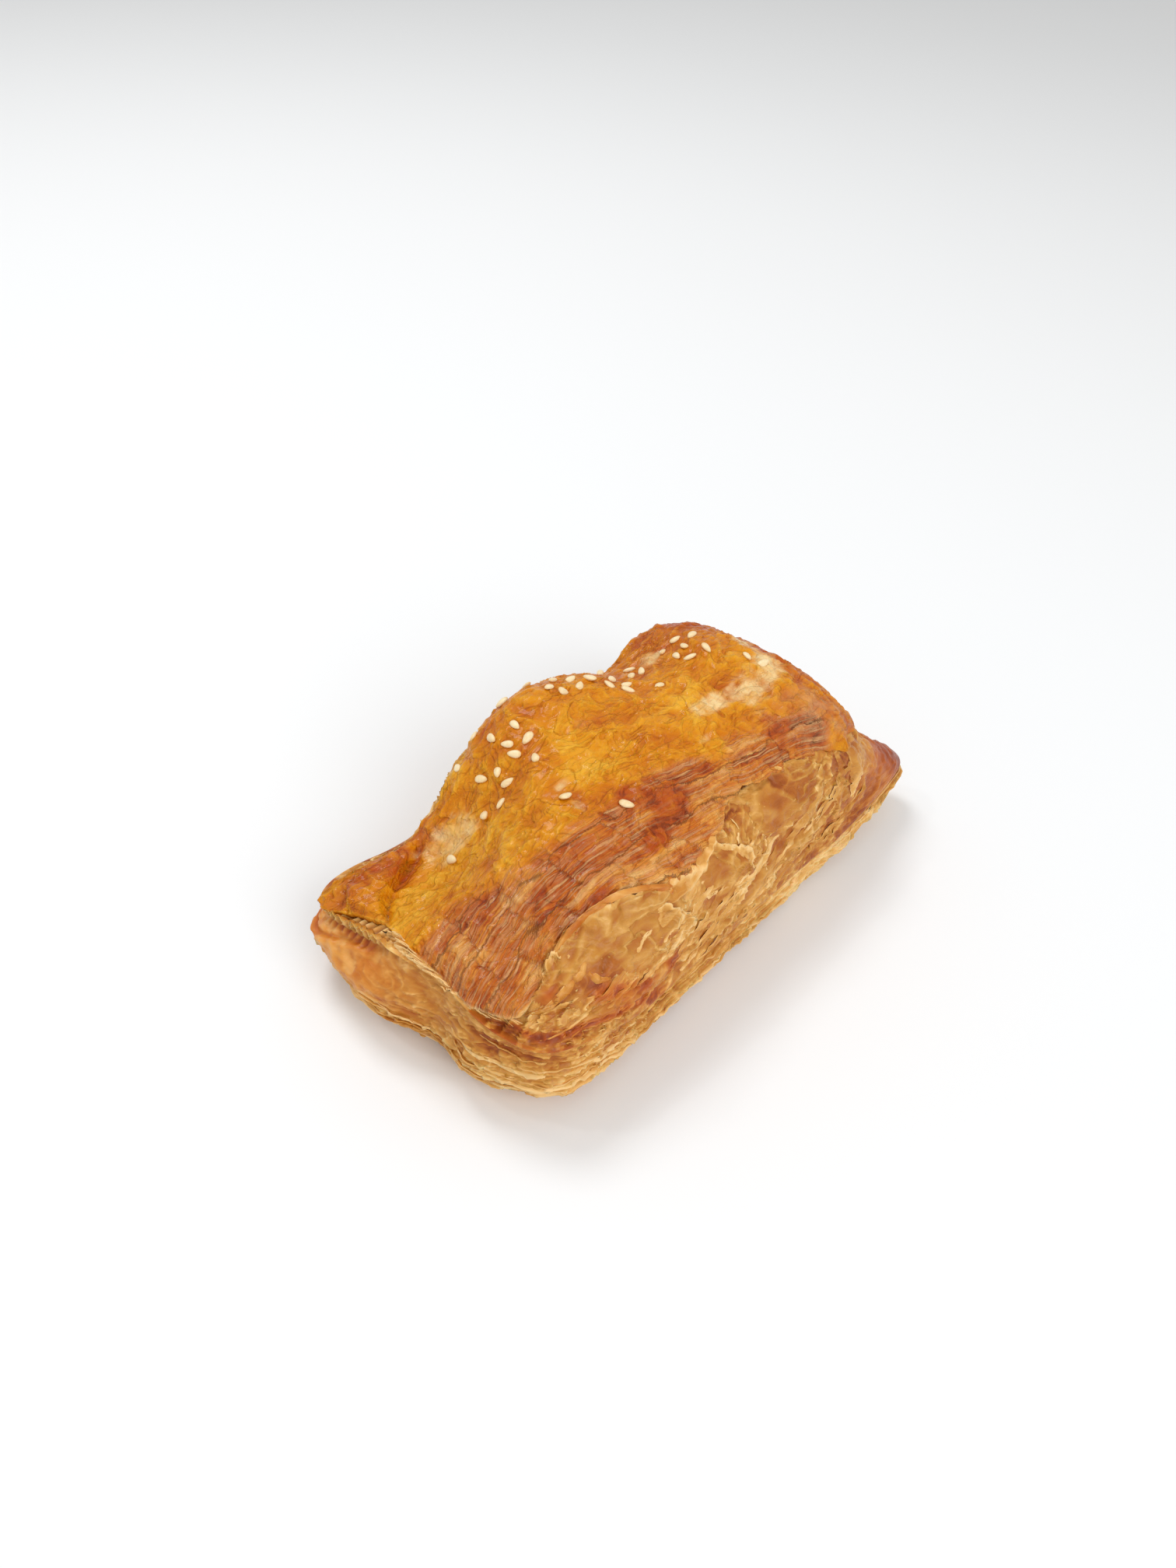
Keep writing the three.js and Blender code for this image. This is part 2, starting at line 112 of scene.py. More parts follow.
# Where the glazed skin ends on the wall: arc and run
SKIN_EDGE = [
    (10, 0.45), (30, 0.4), (55, 0.48), (80, 0.44), (105, 0.47), (125, 0.44), (137, 0.36), (143, 0.06),
    (149, 0.17), (153, 0.3), (159, 0.38), (163, 0.33), (167, 0.26), (175, 0.17), (182, 0.1), (187, 0.16),
    (192, 0.25), (195, 0.31), (199, 0.4), (202, 0.5), (204, 0.56), (208, 0.59), (213, 0.58), (220, 0.57),
    (225, 0.56), (231, 0.52), (240, 0.46), (246, 0.5), (251, 0.51), (257, 0.53), (264, 0.57), (271, 0.6),
    (277, 0.59), (284, 0.57), (290, 0.53), (300, 0.52), (306, 0.46), (310, 0.5), (318, 0.45), (330, 0.42),
]

# Places along the outline: open mouth, crumbly skin edge, front corner, near side and right end
PLEAT_ARC = 155
CRUMBLY_ARC = 182
FRONT_ARC = 203
NEAR_ARC = 265
RIGHT_LOW_ARC = 290
RIGHT_END_ARC = 306
TIP_ARC = 317
FLAP_ANGLE = 163
PLEAT_TURN = 1.7
MOUTH_RECESS = 1.0

# Streaked brown band of the near shoulder
STREAK_SLANT = 0.15
STREAK_BEND = -45.0
BLOCK_LENGTH = 15.0
BLOCK_WIDTH = 7.0

# Skin: spots are given by the centre and the half sizes in x and y, and crinkles by size, octaves and seed
SKIN_FOLDS = (6.5, 3, 4)
SKIN_WRINKLES = (2.8, 2, 8)
RED_BLOTCHES = [(-9, -15, 6, 4.5), (-15, -9, 4, 3), (-18, -19, 4, 3), (27, -17, 5, 2.5), (-36, -22, 5, 3)]
FLAKED_PLACES = [
    (19, -3.2, 6, 3), (31, -5.5, 8, 4.5), (42, -3, 5, 5), (-41, 21, 6, 4.5), (-37, 16, 5, 4),
    (27, 20, 4, 4), (46, 6, 4, 5), (-25, -4, 1.5, 2.5), (10, -9, 3, 1.5), (-24, 2, 3, 1.2),
]
# Browner and paler spots of the skin: weight and spot
SKIN_TONES = [
    (-0.04, (-24, 24, 16, 9)), (-0.14, (16, 8, 11, 8)), (-0.08, (-8, 6, 12, 7)),
    (0.22, (42, 24, 14, 8)), (0.26, (43, -19, 13, 9)), (-0.12, (-55, 12, 6, 5)),
]
# Spot of painted sheen on the near shoulder: centre and half sizes in x and y
SHOULDER_SHEEN = (40, -18, 10, 7)
FRONT_RIM = (-60, -26, 8, 7)
SUNK_RIM = (-54, -21, 6, 6)
# Crease beside the folded tab of the left end: x and y
TAB_CREASE = [(-66, 9), (-61, 13.3), (-58, 16.7), (-54.4, 18.8), (-49.5, 20.7), (-45.7, 22.3), (-40, 26)]
TAB_HEIGHT = 2.0

# Walls: size of the torn sheets, and the crease across the flap of the left end as arc and rise
WALL_GRAIN = (6.5, 6.5, 3.6)
LOWER_GRAIN = (10.0, 10.0, 0.9)
FLAP_CREASE = [(140, 0.6), (148, 0.67), (153, 0.8), (158, 0.86), (166, 0.97)]
# Deep orange places of the near wall: arc, run and size
ORANGE_POCKETS = [
    (215, 0.35, 3), (218, 0.3, 3), (222, 0.25, 4), (228, 0.21, 3), (204, 0.46, 2), (236, 0.2, 3),
]
# Deep orange strip across the front corner: arc and run
ORANGE_STRIP = [
    (196, 0.28), (201, 0.21), (205, 0.21), (209, 0.2), (214, 0.19), (222, 0.15), (229, 0.1), (238, 0.06),
]
ORANGE_TONE = 0.17
ORANGE_GLAZE = 0.8

# Meshes
AROUND = 640
SKIN_ROWS = 128
SKIN_ROW_EASE = 1.1
SKIN_INNER_ROWS = [0, 4, 10, 18, 28, 40, 54, 70, 86, 104, SKIN_ROWS]
SKIN_THICKNESS = 0.7
SKIN_LIFT = 0.25
SKIN_HIDDEN = 2.6
LIP_THICKNESS = 1.4
CRUMBLY_THICKNESS = 0.8
CORE_WALL_ROWS = 66
CORE_LOWER_ROWS = 58
CORE_TOP_ROWS = 20
CORE_SUNK = 1.5
CORE_TOP_SUNK = 3.8
# Steps in arc, run and rise over which the slope of a sheet is taken
ARC_STEP = 0.8
RUN_STEP = 0.008
RISE_STEP = 0.03

# Flakes and layers: sizes, counts, and the points across each kind
SHEET_EDGE = 0.3
FLAKE_THICKNESS = 0.22
LAYER_THICKNESS = 0.35
LAYER_ROWS = 5
LAYER_STEP = 0.7
LAYER_STRIPS = 70
WALL_FLAKES = 96
STRANDS = 40
STRAND_FALL = 0.0072
CRUMBS = 26
GOLDEN_STEP = 0.618034
PATCH_GRID = (64, 30)
RIBBON_GRID = (44, 10)
RIBBON_MARKS = 12
FEATURE_STEPS = 26
FLAKE_STEPS = 16
CRUMB_STEPS = 12
# Arcs between which flakes are listed one by one, and arcs of the crumbs
BY_HAND_ARCS = (138, 322)
CRUMB_ARCS = (163, 197)
# Drawn ranges. Flakes: half length, half height, turn, lift, side that lifts, bake
FLAKE_RANGES = [(2.0, 6.0), (1.5, 3.8), (-0.6, 0.6), (0.2, 0.8), (0, 2 * math.pi), (0.2, 0.55)]
# Strands: run, length, width, lift, bake
STRAND_RANGES = [(0.14, 0.46), (14, 38), (0.8, 2.8), (0.2, 0.5), (0.18, 0.5)]
# Layer edges all round: length, rise, reach
LAYER_RANGES = [(22, 60), (0.1, 0.84), (0.1, 0.5)]
# Layer edges of the flap and of the front corner: count, first draw, start, length, rise, reach
LAYER_GROUPS = [
    (16, 4700, (142, 156), (34, 60), (0.06, 0.42), 0.5),
    (7, 4800, (168, 184), (44, 66), (0.12, 0.82), 0.25),
]
# First fixed draw of each kind, and first seed of its noise
SEED_DRAW = 2000
FLAKE_DRAW = 3000
CRUMB_DRAW = 3500
STRAND_DRAW = 3700
LAYER_DRAW = 4000
TOAST_DRAW = 5000
PATCH_NOISE = 300
RIBBON_NOISE = 500
FEATURE_NOISE = 600
FLAKE_NOISE = 700
LAYER_NOISE = 800
CRUMB_NOISE = 1300
STRAND_NOISE = 2000
# Flakes of the near wall: arc, run, half length, half height, turn, lift, side that lifts, bake
FEATURE_FLAKES = [
    (206, 0.5, 4, 5, 0.2, 1.2, 1.6, 0.5),
    (206, 0.33, 7, 4.5, 0.15, 0.8, 1.6, 0.5),
    (233, 0.42, 6, 4, -0.3, 1.6, 0.3, 0.22),
    (238, 0.34, 5, 4, 0.4, 1.4, 0.2, 0.3),
    (228, 0.33, 6, 4, 0.0, 0.9, -0.6, 0.5),
    (253, 0.43, 6, 5.5, 0.5, 0.8, 0.6, 0.28),
    (260, 0.37, 5, 6, 0.2, 0.8, 0.2, 0.26),
    (256, 0.3, 6, 4, 0.1, 0.8, -1.0, 0.34),
    (266, 0.42, 4, 7, 0.3, 0.3, 2.6, 0.4),
    (241, 0.22, 7, 4, 0.1, 0.6, -1.4, 0.34),
    (252, 0.19, 6, 3.5, 0.05, 0.6, -1.4, 0.36),
    (268, 0.21, 7, 4, 0.2, 0.6, -1.4, 0.28),
    (218, 0.2, 8, 3.5, 0.1, 1.0, -1.4, 0.5),
]
# Smooth sheets of the near wall: upper path, lower path, heights off the wall from bottom to top, and bake
FEATURE_PATCHES = [
    ([(197, 0.47), (206, 0.58), (213, 0.6), (220, 0.585), (226, 0.57), (233, 0.53), (242, 0.465)],
     [(196, 0.33), (210, 0.36), (221, 0.33), (228, 0.29), (234, 0.28), (240, 0.3), (245, 0.36)],
     (-0.6, 0.2, 0.5, 0.4, 0.4, 0.7, 1.3), 0.54),
    ([(246, 0.46), (251, 0.5), (257, 0.49), (262, 0.43)],
     [(248, 0.37), (254, 0.31), (261, 0.27), (267, 0.28)], (-0.4, 0.5, 0.8, 0.3), 0.46),
    ([(269, 0.6), (280, 0.605), (288, 0.575), (296, 0.53)],
     [(267, 0.36), (275, 0.32), (283, 0.3), (292, 0.33)], (-0.4, 0.4, 0.6, 0.2), 0.55),
    ([(262, 0.32), (272, 0.3), (284, 0.29), (298, 0.31), (308, 0.36)],
     [(246, 0.16), (258, 0.16), (272, 0.17), (288, 0.19), (303, 0.24)], (-0.4, 0.4, 0.5, -0.4), 0.46),
    ([(208, 0.29), (220, 0.27), (232, 0.25), (244, 0.26)],
     [(204, 0.16), (216, 0.13), (230, 0.12), (246, 0.14)], (-0.4, 0.4, 0.5, -0.4), 0.5),
]
# Torn strips: path, widths along it, heights off the wall from bottom to top, bake, and share of glaze
FEATURE_RIBBONS = [
    ([(233, 0.465), (241, 0.485), (247, 0.5), (252, 0.515), (259, 0.55)],
     (2, 5, 4, 2, 0.6), (1.2, 0.9, 0.2), 0.24, 0.2),
    ([(203, 0.55), (208, 0.595), (214, 0.605), (221, 0.59), (229, 0.56), (236, 0.51), (243, 0.47)],
     (0.7, 1.3, 1.1, 1.3, 1.0, 1.3, 0.7), (1.2, 1.9, 1.4), 0.3, 0.6),
    ([(212, 0.56), (212, 0.47), (208, 0.45), (201, 0.39)], (0.8, 2, 3, 1), (0.1, 0.7, 0.3), 0.25, 0.3),
    ([(212, 0.47), (215, 0.4), (218, 0.37)], (1.6, 1.6, 0.6), (0.1, 0.7, 0.3), 0.3, 0.3),
    ([(265, 0.6), (270, 0.565), (274, 0.485)], (1, 4.5, 3), (-0.2, 0.3, -0.1), 0.34, 0.0),
    ([(273, 0.49), (279, 0.455), (285, 0.43)], (3, 4, 1), (-0.2, 0.3, -0.1), 0.34, 0.0),
    ([(297, 0.48), (291, 0.41), (284, 0.33), (276, 0.3)], (1.5, 4.5, 4.5, 1), (0.0, 0.6, 0.1), 0.38, 0.0),
    ([(309, 0.51), (309, 0.4), (307, 0.3), (302, 0.22)], (1.5, 4, 3.5, 1), (0.0, 0.6, 0.1), 0.34, 0.0),
    ([(304, 0.49), (303, 0.38), (298, 0.27), (290, 0.2)], (1, 3, 3, 1), (0.0, 0.6, 0.1), 0.42, 0.0),
]

# Sesame seeds. Patches: centre and half sizes in x and y, and count
SEED_LENGTH = 3.4
SEED_WIDTH = 1.9
SEED_THICKNESS = 1.1
SEED_SUNK = 0.3
SEED_SHRINK = 0.2
SEED_TAPER = 0.3
SEED_TRIES = 24
SEED_AROUND = 14
SEED_RINGS = 9
SEED_PATCHES = [
    (-23, 17, 6.5, 6.5, 9), (-32, 13, 2, 2.5, 2), (-17, -9.5, 1, 1, 1), (-24.5, -0.5, 1, 1, 1),
    (0, 22, 6.5, 4, 6), (10, 17.5, 3, 5, 4), (19, 19.5, 2.5, 3, 3), (16, 10, 1, 1, 1),
    (31.5, 14.5, 5.5, 6, 7), (40, 0, 1.5, 2.5, 2), (-41.5, 14, 1, 1, 1), (-7, 28, 26, 2, 6),
]

# Light: name, place, size, power
LIGHTS = [
    ("key", (0.1, 0.55, 0.9), 0.4, 3.4),
    ("glint", (-0.35, 0.5, 0.8), 0.07, 0.45),
    ("fill", (-0.2, -0.9, 0.7), 0.9, 5.8),
]
LIGHT_TARGET = (0, 0, 0.02)
SKY_COLOUR = (1.0, 0.99, 0.97, 1.0)
SKY_STRENGTH = 0.6
FLOOR_SIZE = 8.0
FLOOR_DROP = 0.0002


def gauss(x, width):
    return np.exp(-((x / width) ** 2))


def mix(a, b, t):
    return a + (b - a) * t


def ramp(start, end, x):
    t = np.clip((x - start) / (end - start), 0, 1)
    return t * t * (3 - 2 * t)


def draw(index):
    """A fixed draw between 0 and 1 for each whole number."""
    wave = np.sin(np.asarray(index, float) * 12.9898 + 4.1414) * 43758.5453
    return wave - np.floor(wave)


def drawn(first, ranges):
    """One draw from each range."""
    return [mix(low, high, draw(first + k)) for k, (low, high) in enumerate(ranges)]


def read_table(table, at):
    return np.interp(at, *np.transpose(table))


def unit(vectors):
    return vectors / np.maximum(np.linalg.norm(vectors, axis=-1, keepdims=True), 1e-9)


def signed_power(value, power):
    return np.sign(value) * np.abs(value) ** power


def outline_table():
    angle = np.linspace(0, 2 * np.pi, OUTLINE_STEPS + 1)
    power = 2 / SQUARENESS
    x = HALF_LENGTH * signed_power(np.cos(angle), power)
    y = HALF_WIDTH * signed_power(np.sin(angle), power)
    lengths = np.concatenate([[0], np.cumsum(np.hypot(np.diff(x), np.diff(y)))])
    return x, y, lengths


OUTLINE_X, OUTLINE_Y, OUTLINE_LENGTHS = outline_table()
PERIMETER = OUTLINE_LENGTHS[-1]


def corner_arc(degrees):
    return OUTLINE_LENGTHS[round(OUTLINE_STEPS * degrees / 360)]


def outline_at(arc):
    arc = np.mod(arc, PERIMETER)
    return np.interp(arc, OUTLINE_LENGTHS, OUTLINE_X), np.interp(arc, OUTLINE_LENGTHS, OUTLINE_Y)


def arc_from(start, end):
    """Signed way along the outline from one place to another, the short way round."""
    return np.mod(end - start + PERIMETER / 2, PERIMETER) - PERIMETER / 2


def arc_gap(a, b):
    return np.abs(arc_from(a, b))


def near_arc(arc, place, width):
    """Share that is 1 at a place along the outline and fades to both sides."""
    return gauss(arc_gap(arc, place), width)


def station_at(arc):
    """Everything that is fixed at a place along the outline, as arrays like arc."""
    arc = np.asarray(arc, float)
    x, y = outline_at(arc)
    ahead_x, ahead_y = outline_at(arc + 0.5)
    behind_x, behind_y = outline_at(arc - 0.5)
    step = np.hypot(ahead_x - behind_x, ahead_y - behind_y)
    along = x / HALF_LENGTH
    across = y / HALF_WIDTH
    shares = {"near": -across, "far": across, "left": -along, "right": along}
    weights = {side: np.maximum(share, 0) ** SIDE_SHARPNESS for side, share in shares.items()}
    seam = sum(SEAM_SIDES[side] * weight for side, weight in weights.items()) / sum(weights.values())
    reach_x = np.zeros_like(x)
    reach_y = np.zeros_like(x)
    lift = np.zeros_like(x)
    fade = np.full_like(x, BODY_FADE)
    for angle, corner_x, corner_y, corner_lift, corner_seam, before, after, corner_fade in CORNERS:
        gap = arc_from(corner_arc(angle), arc)
        spread = np.where(gap < 0, before, after)
        weight = gauss(gap, spread)
        reach_x += corner_x * weight
        reach_y += corner_y * weight
        lift += corner_lift * gauss(gap, spread * LIFT_SPREAD)
        fade += (corner_fade - BODY_FADE) * weight
        seam = mix(seam, corner_seam, gauss(gap, spread * SEAM_SPREAD))
    lobes = sum(shift * gauss(y - centre, spread) for shift, centre, spread in LEFT_LOBES)
    near_edge = ramp(-0.6 * HALF_WIDTH, -HALF_WIDTH, y)
    mouth = near_arc(arc, corner_arc(MOUTH_ANGLE), MOUTH_WIDTH)
    belly_right = BELLY_RIGHT * ramp(0.7 * HALF_LENGTH, HALF_LENGTH, x)
    return {
        "x": x,
        "y": y,
        "normal_x": (ahead_y - behind_y) / step,
        "normal_y": -(ahead_x - behind_x) / step,
        "seam": seam,
        "reach_x": reach_x,
        "reach_y": reach_y,
        "lift": lift,
        "fade": fade,
        "lobe_x": gauss(x + HALF_LENGTH, LOBE_DEPTH) * lobes,
        "lobe_y": near_edge * (-1.2 * gauss(x + 37, 14) - 1.9 * ramp(25, 50, x)),
        "belly": BELLY + BELLY_FAR * ramp(0, HALF_WIDTH, y) + belly_right,
        "waist": WAIST_DEPTH * gauss(x + 38, 13) * ramp(0.5 * HALF_WIDTH, HALF_WIDTH, y),
        "tuck": END_TUCK * near_arc(arc, corner_arc(TUCK_ANGLE), 14.6),
        "groove": GROOVE_DEPTH + MOUTH_DEPTH * mouth,
        "groove_end": GROOVE_END + MOUTH_RISE * mouth,
    }


def crown_height(x, y):
    far = ramp(-12, 20, y)
    height = CROWN_HEIGHT + LUMP_HEIGHT * gauss(x + 4.8, 16.7) * gauss(y - 26, 15)
    height -= SADDLE_DEPTH * gauss(x - 21.8, 13.2) * ramp(4, 28, y)
    height -= NEAR_FALL * np.maximum(-y - 2, 0)
    height -= mix(*LEFT_FALL, far) * ramp(mix(*LEFT_FALL_START, far), mix(*LEFT_FALL_END, far), x)
    height -= mix(*RIGHT_FALL, far) * ramp(36.4, 62, x)
    return height


def blister_height(x, y):
    total = np.zeros_like(x)
    for i in range(BLISTER_COUNT):
        centre_x = HALF_LENGTH * (1.7 * draw(900 + 4 * i) - 0.85)
        centre_y = HALF_WIDTH * (1.6 * draw(901 + 4 * i) - 0.7)
        size = mix(3, 8, draw(902 + 4 * i))
        height = BLISTER_HEIGHT * (2 * draw(903 + 4 * i) - 0.8)
        total += height * gauss(np.hypot(x - centre_x, y - centre_y), size)
    return total


def base_point(st, share):
    """A place on the base. The share is 0 in the middle and 1 at the rim."""
    x = st["x"] - BASE_INSET * st["normal_x"] + REACH_AT_BASE * st["reach_x"] + LOBE_AT_BASE * st["lobe_x"]
    y = st["y"] - BASE_INSET * st["normal_y"] + REACH_AT_BASE * st["reach_y"]
    z = st["lift"] * ramp(BASE_FLAT, 1, share) + BASE_HOLLOW * ramp(0.2, 0.85, share)
    return np.stack([share * x, share * y, z], -1) + CENTRE


def lower_point(st, rise):
    out = np.sin(np.minimum(rise / RIM_RISE, 1) * np.pi / 2)
    offset = -BASE_INSET * (1 - out) - st["groove"] * ramp(GROOVE_START, 1, rise)
    reach = mix(REACH_AT_BASE, 1, out)
    lobe = mix(LOBE_AT_BASE, 1, out) * (1 - 0.6 * ramp(0.5, 1, rise))
    x = st["x"] + offset * st["normal_x"] + reach * st["reach_x"] + lobe * st["lobe_x"]
    y = st["y"] + offset * st["normal_y"] + reach * st["reach_y"] + out * st["lobe_y"]
    return np.stack([x, y, mix(st["lift"] + BASE_HOLLOW, st["seam"], rise)], -1) + CENTRE


def upper_point(st, run):
    t = run**EASE / (run**EASE + (1 - run) ** EASE)
    turn = t * np.pi / 2
    power = 2 / st["belly"]
    inward = np.maximum(np.cos(turn), 0) ** power * (run < 1)
    rise = np.sin(turn) ** power
    reach = np.exp(-t * st["fade"]) * (1 - t)
    tucked = inward * ramp(0, TUCK_RISE, t)
    offset = -st["groove"] * (1 - ramp(0, 1, run / st["groove_end"]))
    lobe_x = 0.4 * st["lobe_x"] * np.exp(-14 * t) * (1 - t)
    lobe_y = st["lobe_y"] * np.exp(-7 * t) * (1 - t)
    x = st["x"] * mix(RIDGE_SHARE, 1, inward) - tucked * st["tuck"] + reach * st["reach_x"] + lobe_x
    y = st["y"] * inward - tucked * st["waist"] + reach * st["reach_y"] + lobe_y
    x = x + offset * st["normal_x"]
    y = y + offset * st["normal_y"]
    crown = crown_height(x, y) + blister_height(x, y)
    return np.stack([x, y, mix(st["seam"], crown, rise)], -1) + CENTRE


def smooth_noise(points, seed):
    """Value noise between -1 and 1 at points that are in cells."""
    cell = np.floor(points)
    inside = points - cell
    inside = inside * inside * (3 - 2 * inside)
    total = 0
    for corner in range(8):
        step = np.array([corner & 1, corner >> 1 & 1, corner >> 2 & 1])
        key = (cell + step) @ np.array([127.1, 311.7, 74.7]) + 19.19 * seed
        value = np.sin(key) * 43758.5453
        weight = np.prod(np.where(step, inside, 1 - inside), axis=-1)
        total = total + weight * (value - np.floor(value))
    return 2 * total - 1


def fractal(points, size, octaves, seed):
    """Noise in octaves. Size is its largest feature in millimetres, one number or one for each axis."""
    points = points / np.asarray(size, float)
    total = 0
    weight = 1.0
    for octave in range(octaves):
        total = total + weight * smooth_noise(points, seed + 7 * octave)
        points = points * 2.03 + 11.7
        weight *= 0.5
    return total / (2 - 2 * weight)


def torn_sheets(points, size, levels, octaves, seed):
    """Stacked torn sheets as a field: each place's sheet number, and how far inside its sheet it is."""
    field = levels * fractal(points, size, octaves, seed)
    number = np.floor(field)
    return number, field - number


def crinkle(points, size, octaves, seed):
    """Thin wandering ridges, 1 on their crests."""
    bend = np.stack([fractal(points, 2 * size, 2, seed + k) for k in (1, 2, 3)], -1)
    return 1 - np.minimum(3.2 * np.abs(fractal(points + 0.9 * size * bend, size, octaves, seed)), 1)


def spot(x, y, centre_x, centre_y, size_x, size_y):
    return np.exp(-(((x - centre_x) / size_x) ** 2) - ((y - centre_y) / size_y) ** 2)


def grid_normals(points):
    """Outward normals of a grid of rows that each run right round."""
    along = np.roll(points, -1, 1) - np.roll(points, 1, 1)
    return unit(np.cross(along, np.gradient(points, axis=0)))


def closed_rows(grid):
    """A grid's rows in one list. Of the last row, the ridge line, both halves meet and one is listed."""
    return np.concatenate([grid[:-1].reshape(-1, *grid.shape[2:]), grid[-1, : AROUND // 2 + 1]])


def closed_rings(rows, first):
    """Vertex numbers of such a list as rings, the first vertex being that number."""
    rings = first + np.arange(rows * AROUND).reshape(rows, AROUND)
    step = np.arange(AROUND)
    rings[-1] = rings[-1, 0] + np.minimum(step, AROUND - step)
    return rings


def ring_quads(low, high):
    """Faces between closed rings of vertex numbers, outward when they go round anticlockwise and up."""
    return np.stack([low, np.roll(low, -1, -1), np.roll(high, -1, -1), high], -1).reshape(-1, 4)


def new_piece(name, vertices, faces, material, fields):
    """A smooth mesh from points in millimetres, with named numbers on its vertices."""
    mesh = bpy.data.meshes.new(name)
    mesh.from_pydata((np.asarray(vertices) * MM).tolist(), [], faces)
    for field, values in fields.items():
        attribute = mesh.attributes.new(field, "FLOAT", "POINT")
        attribute.data.foreach_set("value", np.asarray(values, np.float32).ravel())
    mesh.shade_smooth()
    mesh.materials.append(material)
    piece = bpy.data.objects.new(name, mesh)
    bpy.context.collection.objects.link(piece)
    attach(piece, "root")
    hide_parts("pastry")


def red_blotch(points):
    """Share of the smooth red-brown blotches beside the band."""
    total = sum(spot(points[..., 0], points[..., 1], *place) for place in RED_BLOTCHES)
    return ramp(0.3, 0.75, total + 0.35 * fractal(points, 5, 4, 64))


def streak_band(points):
    """Share of the striated brown band along the near shoulder, bending down over the left end."""
    x, y = points[..., 0], points[..., 1]
    low = ramp(-3, -14, y + 0.1 * np.maximum(x + 30, 0))
    left = ramp(-38, -50, x) * ramp(4, -8, y)
    right = 1 - ramp(30, 44, x)
    ragged = 0.6 * fractal(points, [9, 5, 5], 5, 61)
    return ramp(0.2, 0.65, np.maximum(low * right, left) + ragged) * (1 - 0.85 * red_blotch(points))


def streak_place(points):
    """Ways along and across the streaks, which follow the near shoulder and fall over the left end."""
    x, y, z = points[..., 0], points[..., 1], points[..., 2]
    wander = 1.2 * fractal(points, 12, 2, 63) + 0.5 * fractal(points, 3.5, 2, 65)
    return -x - 0.8 * z, y + STREAK_SLANT * np.sqrt((x - STREAK_BEND) ** 2 + 60) + wander


def streak_blocks(points):
    """Torn blocks of the band: a number for each, and the way from its end in millimetres."""
    along, across = streak_place(points)
    ragged = fractal(points, 5, 3, 62)
    lane = np.floor((across + 2.0 * ragged) / BLOCK_WIDTH)
    way = (along + 2.5 * ragged) / BLOCK_LENGTH + draw(lane + 71)
    number = np.floor(way)
    return 17 * lane + number, (way - number) * BLOCK_LENGTH


def streak_lines(points):
    """Lines along the shoulder in broken blocks, about -0.6 to 0.6, and smooth in some blocks."""
    along, across = streak_place(points)
    block, _ = streak_blocks(points)
    shown = ramp(0.1, 0.3, draw(block + 5))
    return shown * fractal(np.stack([along, across, 3.7 * block], -1), [16, 1.1, 1], 2, 20)


def flaked_patch(points):
    """Share of the places on top where the glaze has come off."""
    ragged = 0.85 * fractal(points, [7, 3, 4], 6, 60) + 0.35 * fractal(points, [2.5, 0.9, 2], 3, 68)
    total = sum(spot(points[..., 0], points[..., 1], *place) for place in FLAKED_PLACES)
    return ramp(0.3, 1.05, total + ragged) * ramp(0.15, 0.6, total)


def folded_tab(x, y):
    """Shares of the tab that is folded over at the left end, and of the crease along its near side."""
    crease_y = read_table(TAB_CREASE, x)
    inside = ramp(0.3, 1.5, y - crease_y) * ramp(27.2, 26.0, y) * ramp(-40, -46, x)
    free_end = x + 64 - 0.65 * (y - 21)
    crease = gauss(y - crease_y, 1.2) * ramp(-66, -60, x) * ramp(-40, -44, x)
    return inside * ramp(-0.6, 0.6, free_end), crease


def skin_bake(points, run, edge):
    """How brown the glazed skin is, from 0 for raw yellow to 1 for dark brown, with painted light and shade
    added: painted highlights on fold crests and the tab's edge, painted shade in the tab's crease and painted
    light along the torn edge.
    """
    x, y = points[..., 0], points[..., 1]
    folds = crinkle(points, *SKIN_FOLDS) - 0.4
    wrinkles = crinkle(points, *SKIN_WRINKLES) - 0.4
    # Lighter on the crests of folds and wrinkles: partly the skin's own mottling, partly painted highlight.
    bake = 0.27 + 0.36 * fractal(points, 13, 4, 30) - 0.2 * folds - 0.1 * wrinkles
    for weight, place in SKIN_TONES:
        bake = bake + weight * spot(x, y, *place)
    block, start = streak_blocks(points)
    torn_end = gauss(start, 0.6) * draw(block + 23)
    band = 0.19 + 0.16 * (draw(block + 9) - 0.5) - 0.34 * streak_lines(points) + 0.2 * torn_end
    band = band + 0.3 * fractal(points, [12, 5, 5], 3, 67) + 0.16 * ramp(8, 20, x)
    bake = bake + streak_band(points) * band + 0.37 * red_blotch(points)
    bake = bake + 0.28 * ramp(40, 52, x + 0.2 * y) * ramp(-14, 2, y)
    tab, crease = folded_tab(x, y)
    # Darker along the tab's crease, partly its own redder colour and partly painted shade in the crease, and
    # paler in a line round the tab's rolled edge, a painted highlight.
    bake = bake + 0.24 * crease + 0.08 * tab - tab * (1 - tab)
    # Paler along the torn edge of the skin, but not at the right end: partly the edge's own paler colour,
    # partly painted light glowing through the thin edge.
    rim = (1 - ramp(0.0, 0.025, run - edge)) * (1 - ramp(20, 36, x))
    return np.clip(bake - 0.2 * rim, 0.02, 1)


def skin_pale(points, arc, run, edge):
    """Share of pale colour: where the glaze is off, along the streaks' crests, partly painted sheen, on a
    painted sheen spot of the shoulder, and on the rim above the flap.
    """
    x, y = points[..., 0], points[..., 1]
    # The streaks' crests are pale: partly the band's own pale streaks, partly painted sheen.
    crests = streak_band(points) * ramp(0.05, 0.5, streak_lines(points))
    # A spot of painted sheen on the near shoulder, broken up by noise.
    shoulder = spot(x, y, *SHOULDER_SHEEN) * ramp(-0.5, 0.4, fractal(points, [5, 3, 3], 4, 66))
    flaked = flaked_patch(points) * mix(0.7, 1, ramp(-30, 0, x))
    crumbly = near_arc(arc, CRUMBLY_ARC, 15) * (1 - ramp(0.0, 0.045, run - edge))
    return np.maximum(np.maximum(flaked, 0.3 * crests + 0.3 * shoulder), 0.85 * crumbly)


